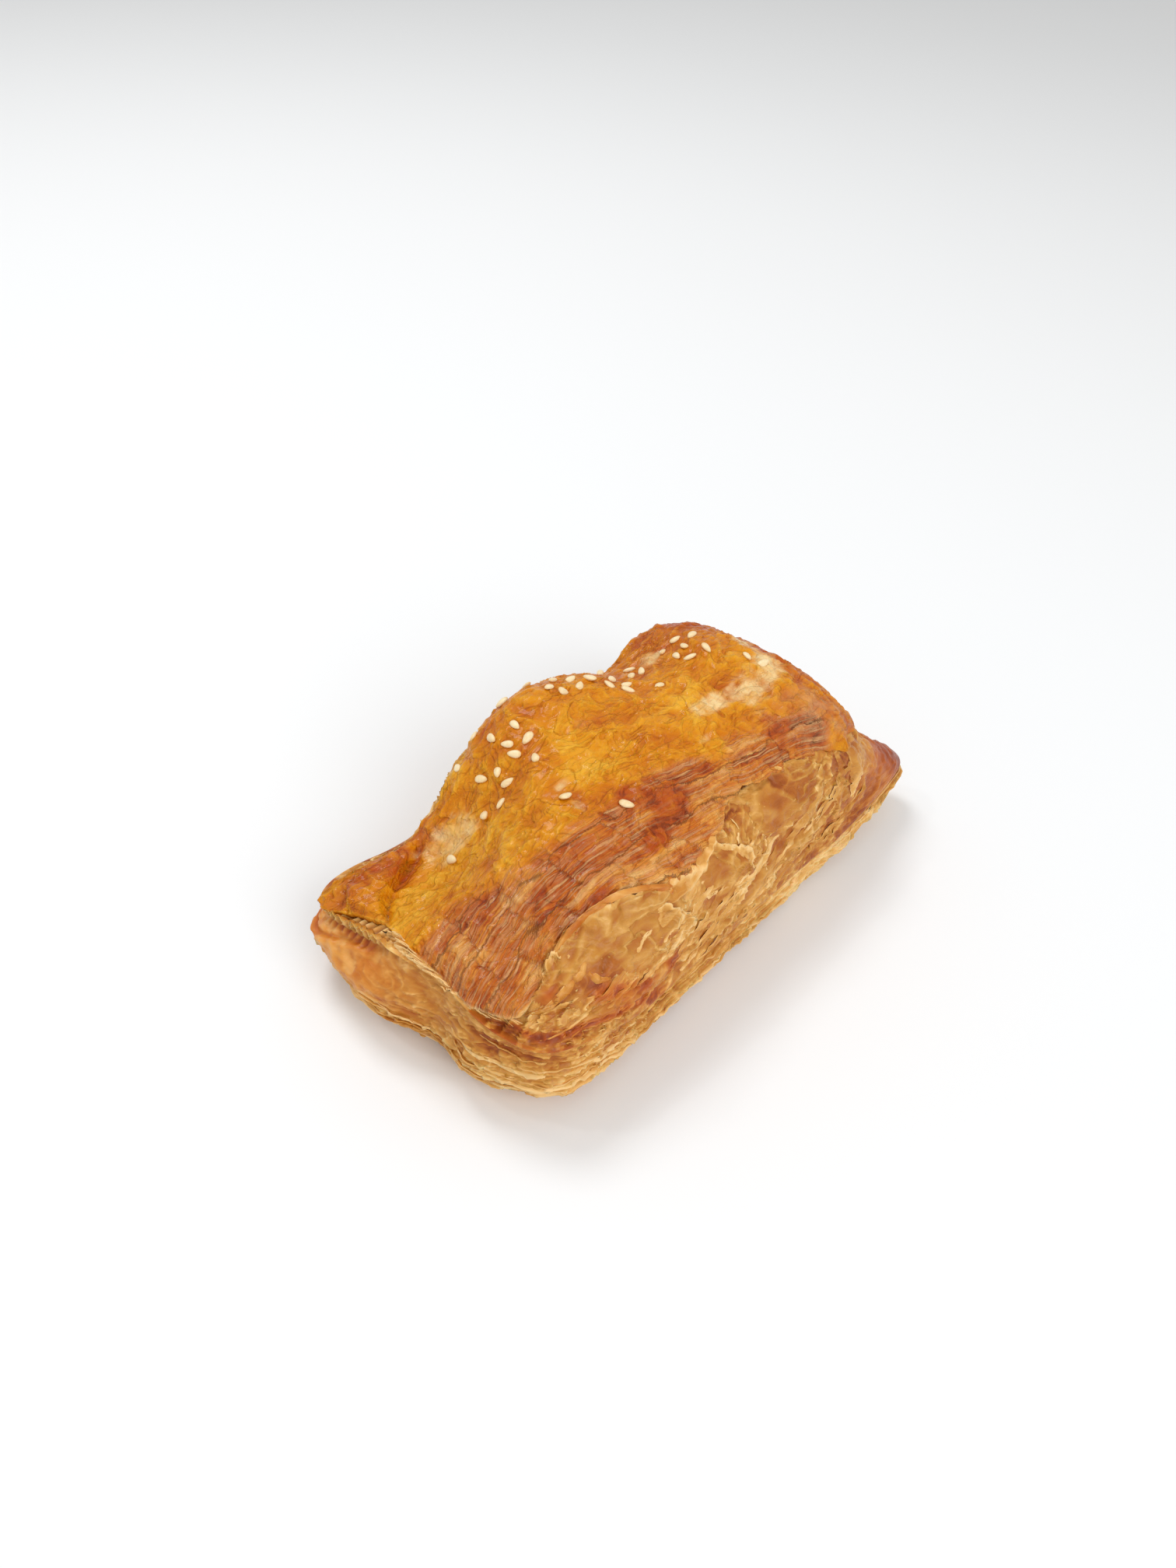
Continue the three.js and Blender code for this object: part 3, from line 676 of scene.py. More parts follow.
def skin_relief(points, run, edge):
    """Height of the skin's wrinkles, streaks, folds and lifted torn rim."""
    x, y = points[..., 0], points[..., 1]
    block, _ = streak_blocks(points)
    wrinkles = fractal(points, 11, 3, 1) + 0.6 * crinkle(points, *SKIN_FOLDS)
    wrinkles = wrinkles + 0.34 * crinkle(points, *SKIN_WRINKLES)
    streaks = streak_band(points) * (0.26 * streak_lines(points) + 0.12 * draw(block + 13) - 0.4)
    tab, crease = folded_tab(x, y)
    peel = np.maximum(0.05 + 0.7 * fractal(points, 7, 2, 3), 0) * (1 - ramp(0.0, 0.06, run - edge))
    peel = peel * ramp(0.1, 0.3, edge) * (1 - spot(x, y, *FRONT_RIM))
    tab = TAB_HEIGHT * tab * mix(0.25, 1, ramp(0.0, 0.1, run - edge))
    sunk = 1.1 * spot(x, y, *SUNK_RIM) * (1 - ramp(0.0, 0.05, run - edge))
    return wrinkles - 0.5 + streaks + tab - 0.8 * crease + peel - sunk - 0.4 * flaked_patch(points)


def skin_edge(arc):
    """The torn edge with its ragged detail."""
    x, y = outline_at(arc)
    ring = np.stack([x, y, np.zeros_like(x)], -1)
    ragged = 0.028 * fractal(ring, 6, 3, 40) + 0.01 * fractal(ring, 1.2, 2, 41)
    edge = np.interp(arc, *np.transpose(SKIN_EDGE), period=PERIMETER)
    return np.clip(edge + ragged * ramp(0.08, 0.3, edge), 0.012, 0.75)


def make_skin(material):
    """The glazed skin as a closed shell. Gives the grid of its outer face, on which the seeds lie."""
    arc = np.arange(AROUND) * PERIMETER / AROUND
    edge = skin_edge(arc)
    run = edge + (1 - edge) * np.linspace(0, 1, SKIN_ROWS + 1)[:, None] ** SKIN_ROW_EASE
    points = upper_point(station_at(arc), run)
    normals = grid_normals(points)
    normals[-1] = (0, 0, 1)
    relief = skin_relief(points, run, edge)
    relief[-1] = 0.5 * (relief[-1] + relief[-1, (AROUND - np.arange(AROUND)) % AROUND])
    outer = points + normals * (SKIN_LIFT + relief)[..., None]

    row = np.array(SKIN_INNER_ROWS)[:, None]
    thickness = SKIN_THICKNESS * mix(0.4, 1, ramp(0, 20, row)) + SKIN_HIDDEN * ramp(16, 54, row)
    thickness = thickness + LIP_THICKNESS * near_arc(arc, PLEAT_ARC, 9)
    thickness = thickness + CRUMBLY_THICKNESS * near_arc(arc, CRUMBLY_ARC, 14)
    inner = outer[SKIN_INNER_ROWS] - normals[SKIN_INNER_ROWS] * thickness[..., None]

    along, across = streak_place(points)
    grids = {
        "bake": skin_bake(points, run, edge),
        "pale": skin_pale(points, arc, run, edge),
        "streak": streak_band(points),
        "along": along,
        "across": across,
        "block": streak_blocks(points)[0],
    }
    fields = {}
    for name, grid in grids.items():
        fields[name] = np.concatenate([closed_rows(grid), closed_rows(grid[SKIN_INNER_ROWS])])
    outside = closed_rows(outer)
    vertices = np.concatenate([outside, closed_rows(inner)])
    outer_rings = closed_rings(len(outer), 0)
    inner_rings = closed_rings(len(inner), len(outside))
    faces = [
        ring_quads(outer_rings[:-1], outer_rings[1:]),
        ring_quads(inner_rings[1:], inner_rings[:-1]),
        ring_quads(inner_rings[0], outer_rings[0]),
    ]
    new_piece("skin", vertices, np.concatenate(faces).tolist(), material, fields)
    return outer


def crumpled_layers(points, size, seed):
    """Torn and crumpled sheets lying on each other: height, tone and torn rims."""
    size = np.asarray(size, float)
    number, inside = torn_sheets(points, 2.2 * size, 3.5, 3, seed)
    fine_number, fine_inside = torn_sheets(points, size, 2.5, 3, seed + 1)
    folds = crinkle(points, 5.0, 3, seed + 2) - 0.4
    crumple = crinkle(points, 2.2, 2, seed + 3) - 0.4
    bulge = fractal(points, 12, 2, seed + 4)
    height = 0.5 * number + 0.4 * np.exp(-7 * inside) + 0.16 * fine_number + 0.16 * np.exp(-6 * fine_inside)
    height = height + 0.55 * folds + 0.2 * crumple + bulge
    # Lighter on crests and bulges and darker, more orange in folds and hollows: partly the layers' own
    # colour, partly painted shade.
    tone = 0.5 - 0.08 * number - 0.04 * fine_number - 0.24 * folds - 0.11 * crumple - 0.2 * bulge
    tone = tone + 0.12 * (draw(number + 31) - 0.5)
    return height, tone, np.maximum(np.exp(-11 * inside), 0.7 * np.exp(-9 * fine_inside))


def open_mouth(arc, run):
    """Share of the wall that is drawn in behind the open mouth."""
    return (1 - ramp(6, 11, arc_gap(arc, PLEAT_ARC))) * (1 - ramp(0.4, 0.5, run))


def mouth_pleats(points, arc):
    """Pleats inside the open mouth, 1 on their crests and -1 in the gaps between them."""
    return 1 - 2 * np.abs(np.sin(PLEAT_TURN * arc - 0.25 * points[..., 2] + 1.2 * fractal(points, 4, 2, 59)))


def tip_share(arc, run):
    """Share of the browned right tip on the upper sheet."""
    return near_arc(arc, TIP_ARC, 11) * (1 - ramp(0.2, 0.34, run))


def flap_share(arc, rise):
    """Share of the smooth glazed flap at the left end of the lower sheet."""
    return near_arc(arc, corner_arc(FLAP_ANGLE), 20) * ramp(0.35, 0.5, rise) * (1 - ramp(0.85, 0.95, rise))


def orange_share(arc, run):
    """Share of the deep orange places, where the near wall is seen through its outer flakes."""
    strip = RUN_LENGTH * (run - read_table(ORANGE_STRIP, arc))
    total = gauss(strip, mix(3.4, 2.2, ramp(204, 216, arc))) * ramp(193, 197, arc) * ramp(240, 228, arc)
    for pocket_arc, pocket_run, size in ORANGE_POCKETS:
        total = total + gauss(np.hypot(arc - pocket_arc, RUN_LENGTH * (run - pocket_run)), size)
    return np.minimum(total, 1)


def wall_layers(points, arc, run):
    """The bare wall's layers, smooth on the right tip and pleated in the mouth."""
    height, tone, rim = crumpled_layers(points, WALL_GRAIN, 50)
    height = height * mix(1, 0.65, near_arc(arc, NEAR_ARC, 50))
    tip = tip_share(arc, run)
    mouth = open_mouth(arc, run)
    pleats = mouth_pleats(points, arc)
    front = near_arc(arc, FRONT_ARC, 16) * (1 - ramp(0.2, 0.32, run))
    height = mix(height - 0.6, 0.3 * height, tip)
    height = mix(height, 0.6 * pleats - MOUTH_RECESS * ramp(0, GROOVE_END + MOUTH_RISE, run), mouth)
    # In the mouth, lighter on the pleats' crests and darker in the gaps between them: painted shade in the
    # gaps.
    tone = mix(tone, 0.26 - 0.34 * pleats, mouth) + 0.2 * front + ORANGE_TONE * orange_share(arc, run)
    tone = tone + 0.2 * near_arc(arc, RIGHT_END_ARC, 9)
    tone = mix(tone, 0.48 + 0.3 * ramp(52, 66, points[..., 0]), tip)
    return height, tone, rim * (1 - tip) * (1 - mouth)


def lower_layers(points, arc, rise):
    """The lower sheet's layers, smooth on the flap of the left end and pleated in the mouth."""
    height, tone, rim = crumpled_layers(points, LOWER_GRAIN, 80)
    mouth = (1 - ramp(5, 10, arc_gap(arc, PLEAT_ARC - 2))) * ramp(0.78, 0.86, rise)
    flap = flap_share(arc, rise)
    soft = 1.1 * fractal(points, 9, 3, 86) + 0.5 * crinkle(points, 5.0, 3, 87) - 0.2
    flaked = ramp(0.12, 0.25, fractal(points, 5, 4, 88))
    crease = rise - read_table(FLAP_CREASE, arc)
    ridge = 0.7 * gauss(crease + 0.08, 0.05) - 0.8 * gauss(crease, 0.04)
    height = mix(0.75 * height, soft - 0.4 * flaked + ridge, flap)
    pleats = mouth_pleats(points, arc)
    height = mix(height, 0.35 * pleats, mouth)
    front = near_arc(arc, FRONT_ARC, 16) * ramp(0.3, 0.6, rise)
    right = near_arc(arc, RIGHT_LOW_ARC, 26)
    tip = near_arc(arc, TIP_ARC, 9) * ramp(0.3, 0.8, rise)
    near = near_arc(arc, NEAR_ARC, 40)
    flap_tone = 0.36 - 0.34 * flaked - 0.25 * soft + 0.3 * gauss(crease, 0.05)
    tone = mix(tone - 0.13 + 0.1 * near + 0.2 * front - 0.26 * right + 0.45 * tip, flap_tone, flap)
    # In the mouth, lighter on the pleats' crests and darker in the gaps between them: painted shade in the
    # gaps.
    tone = mix(tone, 0.45 - 0.3 * pleats, mouth)
    return height * ramp(0, 0.15, rise), tone, rim * (1 - flap) * (1 - mouth)


def make_core(material):
    """The layered dough under the skin: walls, seam, lower sheet and flat base."""
    arc = np.arange(AROUND) * PERIMETER / AROUND
    st = station_at(arc)
    edge = skin_edge(arc)
    covered = edge + 0.04
    wall_runs = covered * np.linspace(0, 1, CORE_WALL_ROWS)[:, None]
    top_runs = mix(covered, 1, np.linspace(0.04, 1, CORE_TOP_ROWS)[:, None])
    run = np.concatenate([wall_runs, top_runs])
    upper = upper_point(st, run)
    normals = grid_normals(upper)
    normals[-1] = (0, 0, 1)
    bare = 1 - ramp(-0.003, 0.025, run - edge)
    clear = np.maximum(ramp(1, 2, run / st["groove_end"]), open_mouth(arc, run))
    height, upper_tone, upper_rim = wall_layers(upper, arc, run)
    sunk = mix(CORE_SUNK, CORE_TOP_SUNK, ramp(0.03, 0.12, run - edge))
    upper = upper + normals * (bare * clear * height - sunk * (1 - bare))[..., None]
    crumbly = gauss(edge - run - 0.02, 0.05) * near_arc(arc, CRUMBLY_ARC, 20)
    upper_tone = mix(upper_tone, 0.04, crumbly)

    rise = np.arange(CORE_LOWER_ROWS)[:, None] / CORE_LOWER_ROWS
    lower = lower_point(st, rise)
    lower_normals = grid_normals(np.concatenate([lower, upper[:1]]))[:-1]
    height, lower_tone, lower_rim = lower_layers(lower, arc, rise)
    lower = lower + lower_normals * (height * ramp(1, 0.9, rise))[..., None]

    base = np.stack([base_point(st, share) for share in BASE_SHARES])
    middle = base_point({key: value[:1] for key, value in st.items()}, 0.0)
    grid = np.concatenate([base, lower, upper])
    points = np.concatenate([middle, closed_rows(grid)])
    rings = closed_rings(len(grid), len(middle))
    fan = np.stack([np.zeros_like(rings[0]), np.roll(rings[0], -1), rings[0]], -1)
    faces = fan.tolist() + ring_quads(rings[:-1], rings[1:]).tolist()

    def field(base_value, lower_values, upper_values):
        bottom = np.full(len(middle) + len(base) * AROUND, base_value)
        return np.concatenate([bottom, closed_rows(np.concatenate([lower_values, upper_values]))])

    bake = field(0.5, lower_tone, upper_tone) + 0.2 * fractal(points, 14, 3, 54)
    wall_glaze = np.maximum(0.65 * tip_share(arc, run), ORANGE_GLAZE * orange_share(arc, run))
    glaze = field(0.0, np.minimum(flap_share(arc, rise), 0.75), wall_glaze)
    fields = {"bake": np.clip(bake, 0, 1), "rim": field(0.0, lower_rim, bare * upper_rim), "glaze": glaze}
    new_piece("core", points, faces, material, fields)


def sheet(points, thickness):
    """A closed thin shell round a grid of points. Its columns run anticlockwise and its rows run up."""
    rows, columns = points.shape[:2]
    normals = unit(np.cross(np.gradient(points, axis=1), np.gradient(points, axis=0)))
    half = np.full((rows, columns), thickness / 2)
    half[[0, -1]] *= SHEET_EDGE
    half[:, [0, -1]] *= SHEET_EDGE
    shift = normals * half[..., None]
    vertices = np.concatenate([(points + shift).reshape(-1, 3), (points - shift).reshape(-1, 3)])
    count = rows * columns
    index = np.arange(count).reshape(rows, columns)
    front = np.stack([index[:-1, :-1], index[:-1, 1:], index[1:, 1:], index[1:, :-1]], -1).reshape(-1, 4)
    back = front[:, ::-1] + count
    loop = np.concatenate([index[0], index[1:, -1], index[-1, -2::-1], index[-2:0:-1, 0]])
    return vertices, np.concatenate([front, back, ring_quads(loop + count, loop)])


class Batch:
    """Vertices, faces and fields of many small shapes, gathered for one piece."""

    def __init__(self):
        self.vertices = []
        self.faces = []
        self.fields = {"bake": [], "rim": [], "glaze": []}
        self.count = 0

    def add(self, vertices, face_groups, **fields):
        self.vertices.append(vertices)
        for group in face_groups:
            self.faces += (group + self.count).tolist()
        for name, values in fields.items():
            self.fields[name].append(np.broadcast_to(values, len(vertices)))
        self.count += len(vertices)

    def add_sheet(self, points, thickness, **fields):
        """A thin sheet whose fields are given on its grid and are the same on both faces."""
        vertices, faces = sheet(points, thickness)
        grid = points.shape[:2]
        both = {name: np.tile(np.broadcast_to(values, grid).ravel(), 2) for name, values in fields.items()}
        self.add(vertices, [faces], **both)

    def make_piece(self, name, material):
        fields = {field: np.concatenate(values) for field, values in self.fields.items()}
        new_piece(name, np.concatenate(self.vertices), self.faces, material, fields)


def layer_point(sheet_point, layers, arc, height, step, offset):
    """Places on the layers of the upper or lower sheet, moved out along the sheet's normal."""
    point = sheet_point(station_at(arc), height)
    offset = offset + layers(point, arc, height)[0]
    along = sheet_point(station_at(arc + ARC_STEP), height) - sheet_point(station_at(arc - ARC_STEP), height)
    up = sheet_point(station_at(arc), height + step) - sheet_point(station_at(arc), height - step)
    return point + unit(np.cross(along, up)) * offset[..., None]


def add_flake(batch, arc, run, offset, bake, rim, glaze=0.0):
    """A thin flake on the wall from a grid of places, darker and glazed where the wall is orange."""
    points = layer_point(upper_point, wall_layers, arc, np.clip(run, 0.02, 0.9), RUN_STEP, offset)
    orange = orange_share(arc, run)
    glaze = np.maximum(glaze, ORANGE_GLAZE * orange)
    batch.add_sheet(points, FLAKE_THICKNESS, bake=bake + ORANGE_TONE * orange, rim=rim, glaze=glaze)


def path_along(path, share):
    """A path of arc and run given at a few places, read at even shares of its length."""
    path = np.asarray(path, float)
    marks = np.linspace(0, 1, len(path))
    return np.interp(share, marks, path[:, 0]), np.interp(share, marks, path[:, 1])


def add_patch(batch, upper, lower, lifts, bake, seed, grid=PATCH_GRID, ragged=1.0, glaze=0.0):
    """A flake between an upper and a lower path on the wall. Lifts are its heights off it, bottom to top."""
    across, up = np.meshgrid(np.linspace(0, 1, grid[0]), np.linspace(0, 1, grid[1]))
    low_arc, low_run = path_along(lower, across)
    high_arc, high_run = path_along(upper, across)
    arc = mix(low_arc, high_arc, up)
    run = mix(low_run, high_run, up)
    place = np.stack([arc, run * RUN_LENGTH, np.full_like(arc, 3.7 * seed)], -1)
    tear = ragged * (1.1 * fractal(place, 3.0, 3, seed) + 0.5 * fractal(place, 0.9, 2, seed + 1))
    near_end = np.maximum(ramp(0.75, 1, up), ramp(0.25, 0, up))
    near_side = np.maximum(ramp(0.8, 1, across), ramp(0.2, 0, across))
    run = run + near_end * tear / RUN_LENGTH
    arc = arc + near_side * tear
    lift = np.interp(up, np.linspace(0, 1, len(lifts)), lifts) * (1 - near_side)
    folds = crinkle(place * [0.6, 1, 1], 4.5, 2, seed + 2) - 0.4
    ripple = 0.45 * folds + 0.3 * near_end * fractal(place, 2.4, 2, seed + 3) - 0.3 * near_side
    rim = np.maximum(ramp(0.86, 1, np.abs(2 * up - 1)), ramp(0.94, 1, np.abs(2 * across - 1)))
    tone = bake + 0.24 * fractal(place, 8.0, 2, seed + 4) - 0.28 * folds
    add_flake(batch, arc, run, lift + ripple, tone, rim, glaze)


def add_ribbon(batch, path, widths, lifts, bake, seed, glaze=0.0):
    """A narrow torn strip along a path on the wall."""
    share = np.linspace(0, 1, RIBBON_MARKS)
    arc, run = path_along(path, share)
    width = np.interp(share, np.linspace(0, 1, len(widths)), widths)
    step_arc = np.gradient(arc)
    step_up = np.gradient(run) * RUN_LENGTH
    length = np.hypot(step_arc, step_up)
    side_arc = -step_up / length * width / 2
    side_run = step_arc / length * width / 2 / RUN_LENGTH
    one = np.stack([arc + side_arc, run + side_run], -1)
    other = np.stack([arc - side_arc, run - side_run], -1)
    add_patch(batch, one, other, lifts, bake, seed, RIBBON_GRID, 0.25, glaze)


def add_disc(batch, arc, run, half_length, half_height, turn, lift, hinge, bake, seed, steps):
    """A flake of its own, roughly round, held along one side and lifted on the other."""
    side = np.linspace(-1, 1, steps)
    u, v = np.meshgrid(side, side)
    x = u * np.sqrt(1 - v * v / 2)
    y = v * np.sqrt(1 - u * u / 2)
    radius = np.hypot(x, y)
    angle = np.arctan2(y, x)
    round_trip = np.stack([2.2 * np.cos(angle), 2.2 * np.sin(angle), np.full_like(angle, 5.3 * seed)], -1)
    outline = 1 + 0.45 * fractal(round_trip, 1.0, 4, seed)
    along = half_length * x * outline
    across = half_height * y * outline
    place_arc = arc + along * math.cos(turn) - across * math.sin(turn)
    place_run = run + (along * math.sin(turn) + across * math.cos(turn)) / RUN_LENGTH
    swing = 0.5 + 0.5 * (x * math.cos(hinge) + y * math.sin(hinge))
    local = np.stack([along, across, np.full_like(along, 2.9 * seed)], -1)
    folds = crinkle(local, 4.5, 3, seed + 1) - 0.4
    offset = lift * swing**2 - 0.3 + 0.5 * folds + 0.35 * radius**4 * fractal(local, 1.8, 2, seed + 2)
    tone = bake + 0.3 * fractal(local, 6.0, 3, seed + 3) + 0.1 * (1 - radius) - 0.25 * folds
    add_flake(batch, place_arc, place_run, offset, tone, ramp(0.78, 1, radius))


def edge_at(arc):
    return float(skin_edge(np.array([arc]))[0])


def make_flakes(material):
    """Sheets, flakes, strips and crumbs of the walls, listed on the near side and by rule elsewhere."""
    batch = Batch()
    for i, patch in enumerate(FEATURE_PATCHES):
        add_patch(batch, *patch, PATCH_NOISE + 10 * i)
    for i, flake in enumerate(FEATURE_FLAKES):
        add_disc(batch, *flake, FEATURE_NOISE + 7 * i, FEATURE_STEPS)
    for i, (path, widths, lifts, bake, glaze) in enumerate(FEATURE_RIBBONS):
        add_ribbon(batch, path, widths, lifts, bake, RIBBON_NOISE + 10 * i, glaze)
    for i in range(WALL_FLAKES):
        first = FLAKE_DRAW + 9 * i
        arc = (i + 0.7 * draw(first)) / WALL_FLAKES * PERIMETER
        if BY_HAND_ARCS[0] < arc < BY_HAND_ARCS[1]:
            continue
        run = mix(0.09, edge_at(arc) - 0.03, (0.5 + i * GOLDEN_STEP) % 1)
        add_disc(batch, arc, run, *drawn(first + 1, FLAKE_RANGES), FLAKE_NOISE + 5 * i, FLAKE_STEPS)
    for i in range(CRUMBS):
        step, drop, half = drawn(CRUMB_DRAW + 3 * i, [(0, 1), (0.0, 0.05), (1.0, 2.6)])
        arc = mix(*CRUMB_ARCS, (i + step) / CRUMBS)
        run = edge_at(arc) - drop
        add_disc(batch, arc, run, 1.4 * half, half, 0.3, 1.2, 1.6, 0.02, CRUMB_NOISE + 3 * i, CRUMB_STEPS)
    batch.make_piece("flakes", material)


def layer_strips():
    """Start, length, rise and reach of the layer edges: on the flap, on the front corner, and all round."""
    strips = []
    for count, first, starts, lengths, rises, reach in LAYER_GROUPS:
        for i in range(count):
            start, length = drawn(first + 2 * i, [starts, lengths])
            strips.append((start, length, mix(*rises, (i + 0.5) / count), reach))
    for i in range(LAYER_STRIPS):
        strips.append((PERIMETER * ((i * GOLDEN_STEP) % 1), *drawn(LAYER_DRAW + 6 * i, LAYER_RANGES)))
    return strips


def add_strands(batch):
    """Long torn strips of the near wall, almost level and falling to the left."""
    for i in range(STRANDS):
        first = STRAND_DRAW + 6 * i
        right = mix(312, 226, (i + draw(first)) / STRANDS)
        high, length, wide, lift, bake = drawn(first + 1, STRAND_RANGES)
        sag = STRAND_FALL * length
        left_end = (right - length, max(high - sag, 0.05))
        path = [(right, high), (right - 0.5 * length, high - 0.4 * sag), left_end]
        widths = (0.4, wide, 0.8 * wide, 0.3)
        add_ribbon(batch, path, widths, (0.0, lift, 0.1), bake, STRAND_NOISE + 7 * i)


def make_layers(material):
    """Broken edges of the stacked dough layers round the lower sheet and along the near wall."""
    batch = Batch()
    out = np.linspace(0, 1, LAYER_ROWS)[:, None]
    for i, (start, length, low, reach) in enumerate(layer_strips()):
        share = np.linspace(0, 1, int(length / LAYER_STEP))
        arc = start + length * share
        x, y = outline_at(arc)
        line = np.stack([x, y, np.full_like(x, 40.0 * i)], -1)
        rise = low + 0.05 * fractal(line, 12, 2, LAYER_NOISE + i)
        flap = near_arc(arc, corner_arc(FLAP_ANGLE), 24) * ramp(0.36, 0.5, rise)
        if flap.max() > 0.4:
            continue
        taper = ramp(0, 0.3, share) * ramp(1, 0.7, share)
        reach = reach + 0.7 * fractal(line, 6, 3, LAYER_NOISE + 30 + i)
        offset = mix(-1.2, reach * taper - 0.8 * (1 - taper), out)
        curl, bake = drawn(LAYER_DRAW + 3 + 6 * i, [(-0.06, 0.1), (0.2, 0.75)])
        rises = np.clip(rise + curl * out**2, 0.05, 0.93)
        points = layer_point(lower_point, lower_layers, arc, rises, RISE_STEP, offset)
        tone = bake + 0.3 * fractal(line, 7, 3, LAYER_NOISE + 80 + i)
        tone = tone - 0.15 * near_arc(arc, RIGHT_LOW_ARC, 26)
        batch.add_sheet(points, LAYER_THICKNESS, bake=tone, rim=out**3, glaze=0.0)
    add_strands(batch)
    batch.make_piece("layers", material)


def seed_places():
    """Places, headings and scales of the seeds, with the same draws as the solid's."""
    places = []
    number = SEED_DRAW
    for patch_x, patch_y, half_x, half_y, count in SEED_PATCHES:
        for i in range(count):
            best = None
            for _ in range(SEED_TRIES):
                radius = math.sqrt(draw(number))
                angle = 2 * math.pi * draw(number + 1)
                number += 2
                x = patch_x + half_x * radius * math.cos(angle)
                y = patch_y + half_y * radius * math.sin(angle)
                room = min((math.hypot(p[0] - x, p[1] - y) for p in places), default=math.inf)
                if best is None or room > best[2]:
                    best = (x, y, room)
            heading = 2 * math.pi * draw(number)
            number += 1
            places.append((best[0], best[1], heading, 1 - SEED_SHRINK * i / count))
    return places


def seed_shape():
    """One seed lying along x: its points and its faces, in quads and in triangles."""
    turn = np.linspace(0, 2 * np.pi, SEED_AROUND, endpoint=False)
    lean = np.linspace(0, np.pi, SEED_RINGS + 2)[1:-1, None]
    tip = np.cos(lean) + 0 * turn
    x = tip * SEED_LENGTH / 2
    y = np.sin(lean) * (1 - SEED_TAPER * tip) * np.cos(turn) * SEED_WIDTH / 2
    z = np.sin(lean) * np.sin(turn) * SEED_THICKNESS / 2
    ends = [[SEED_LENGTH / 2, 0, 0], [-SEED_LENGTH / 2, 0, 0]]
    points = np.concatenate([np.stack([x, y, z], -1).reshape(-1, 3), ends])
    ring = np.arange(SEED_RINGS * SEED_AROUND).reshape(SEED_RINGS, SEED_AROUND)
    ahead = np.roll(ring, -1, 1)
    body = np.stack([ring[:-1], ring[1:], ahead[1:], ahead[:-1]], -1).reshape(-1, 4)
    front = np.full(SEED_AROUND, ring.size)
    front_cap = np.stack([front, ring[0], ahead[0]], -1)
    back_cap = np.stack([front + 1, ahead[-1], ring[-1]], -1)
    return points, [body, front_cap, back_cap]


def make_seeds(surface, material):
    """The seeds, dropped on to the skin and laid along its slope."""
    index = np.arange(surface.shape[0] * surface.shape[1]).reshape(surface.shape[:2])
    tree = BVHTree.FromPolygons(surface.reshape(-1, 3).tolist(), ring_quads(index[:-1], index[1:]).tolist())
    shape, faces = seed_shape()
    batch = Batch()
    for number, (x, y, heading, scale) in enumerate(seed_places()):
        hit, up, _, _ = tree.ray_cast(Vector((x, y, 100)), Vector((0, 0, -1)))
        if hit is None:
            hit, up, _, _ = tree.find_nearest(Vector((x, y, CROWN_HEIGHT)))
        along = Vector((math.cos(heading), math.sin(heading), 0))
        along = (along - up * along.dot(up)).normalized()
        across = up.cross(along)
        local = shape * scale
        local[:, 2] += scale * SEED_THICKNESS * (0.5 - SEED_SUNK)
        vertices = np.array(hit) + local @ np.array([along, across, up])
        from_middle = np.abs(local[:, 0]) / (SEED_LENGTH * scale / 2)
        toast = 0.25 * draw(TOAST_DRAW + number) + 0.35 * ramp(0.5, 1, from_middle)
        batch.add(vertices, faces, bake=toast, rim=0.0, glaze=0.0)
    batch.make_piece("seeds", material)


def srgb(red, green, blue):
    """Linear colour of the 8-bit colour that a screen shows."""
    def linear(channel):
        value = channel / 255
        return value / 12.92 if value <= 0.04045 else ((value + 0.055) / 1.055) ** 2.4
    return linear(red), linear(green), linear(blue), 1.0


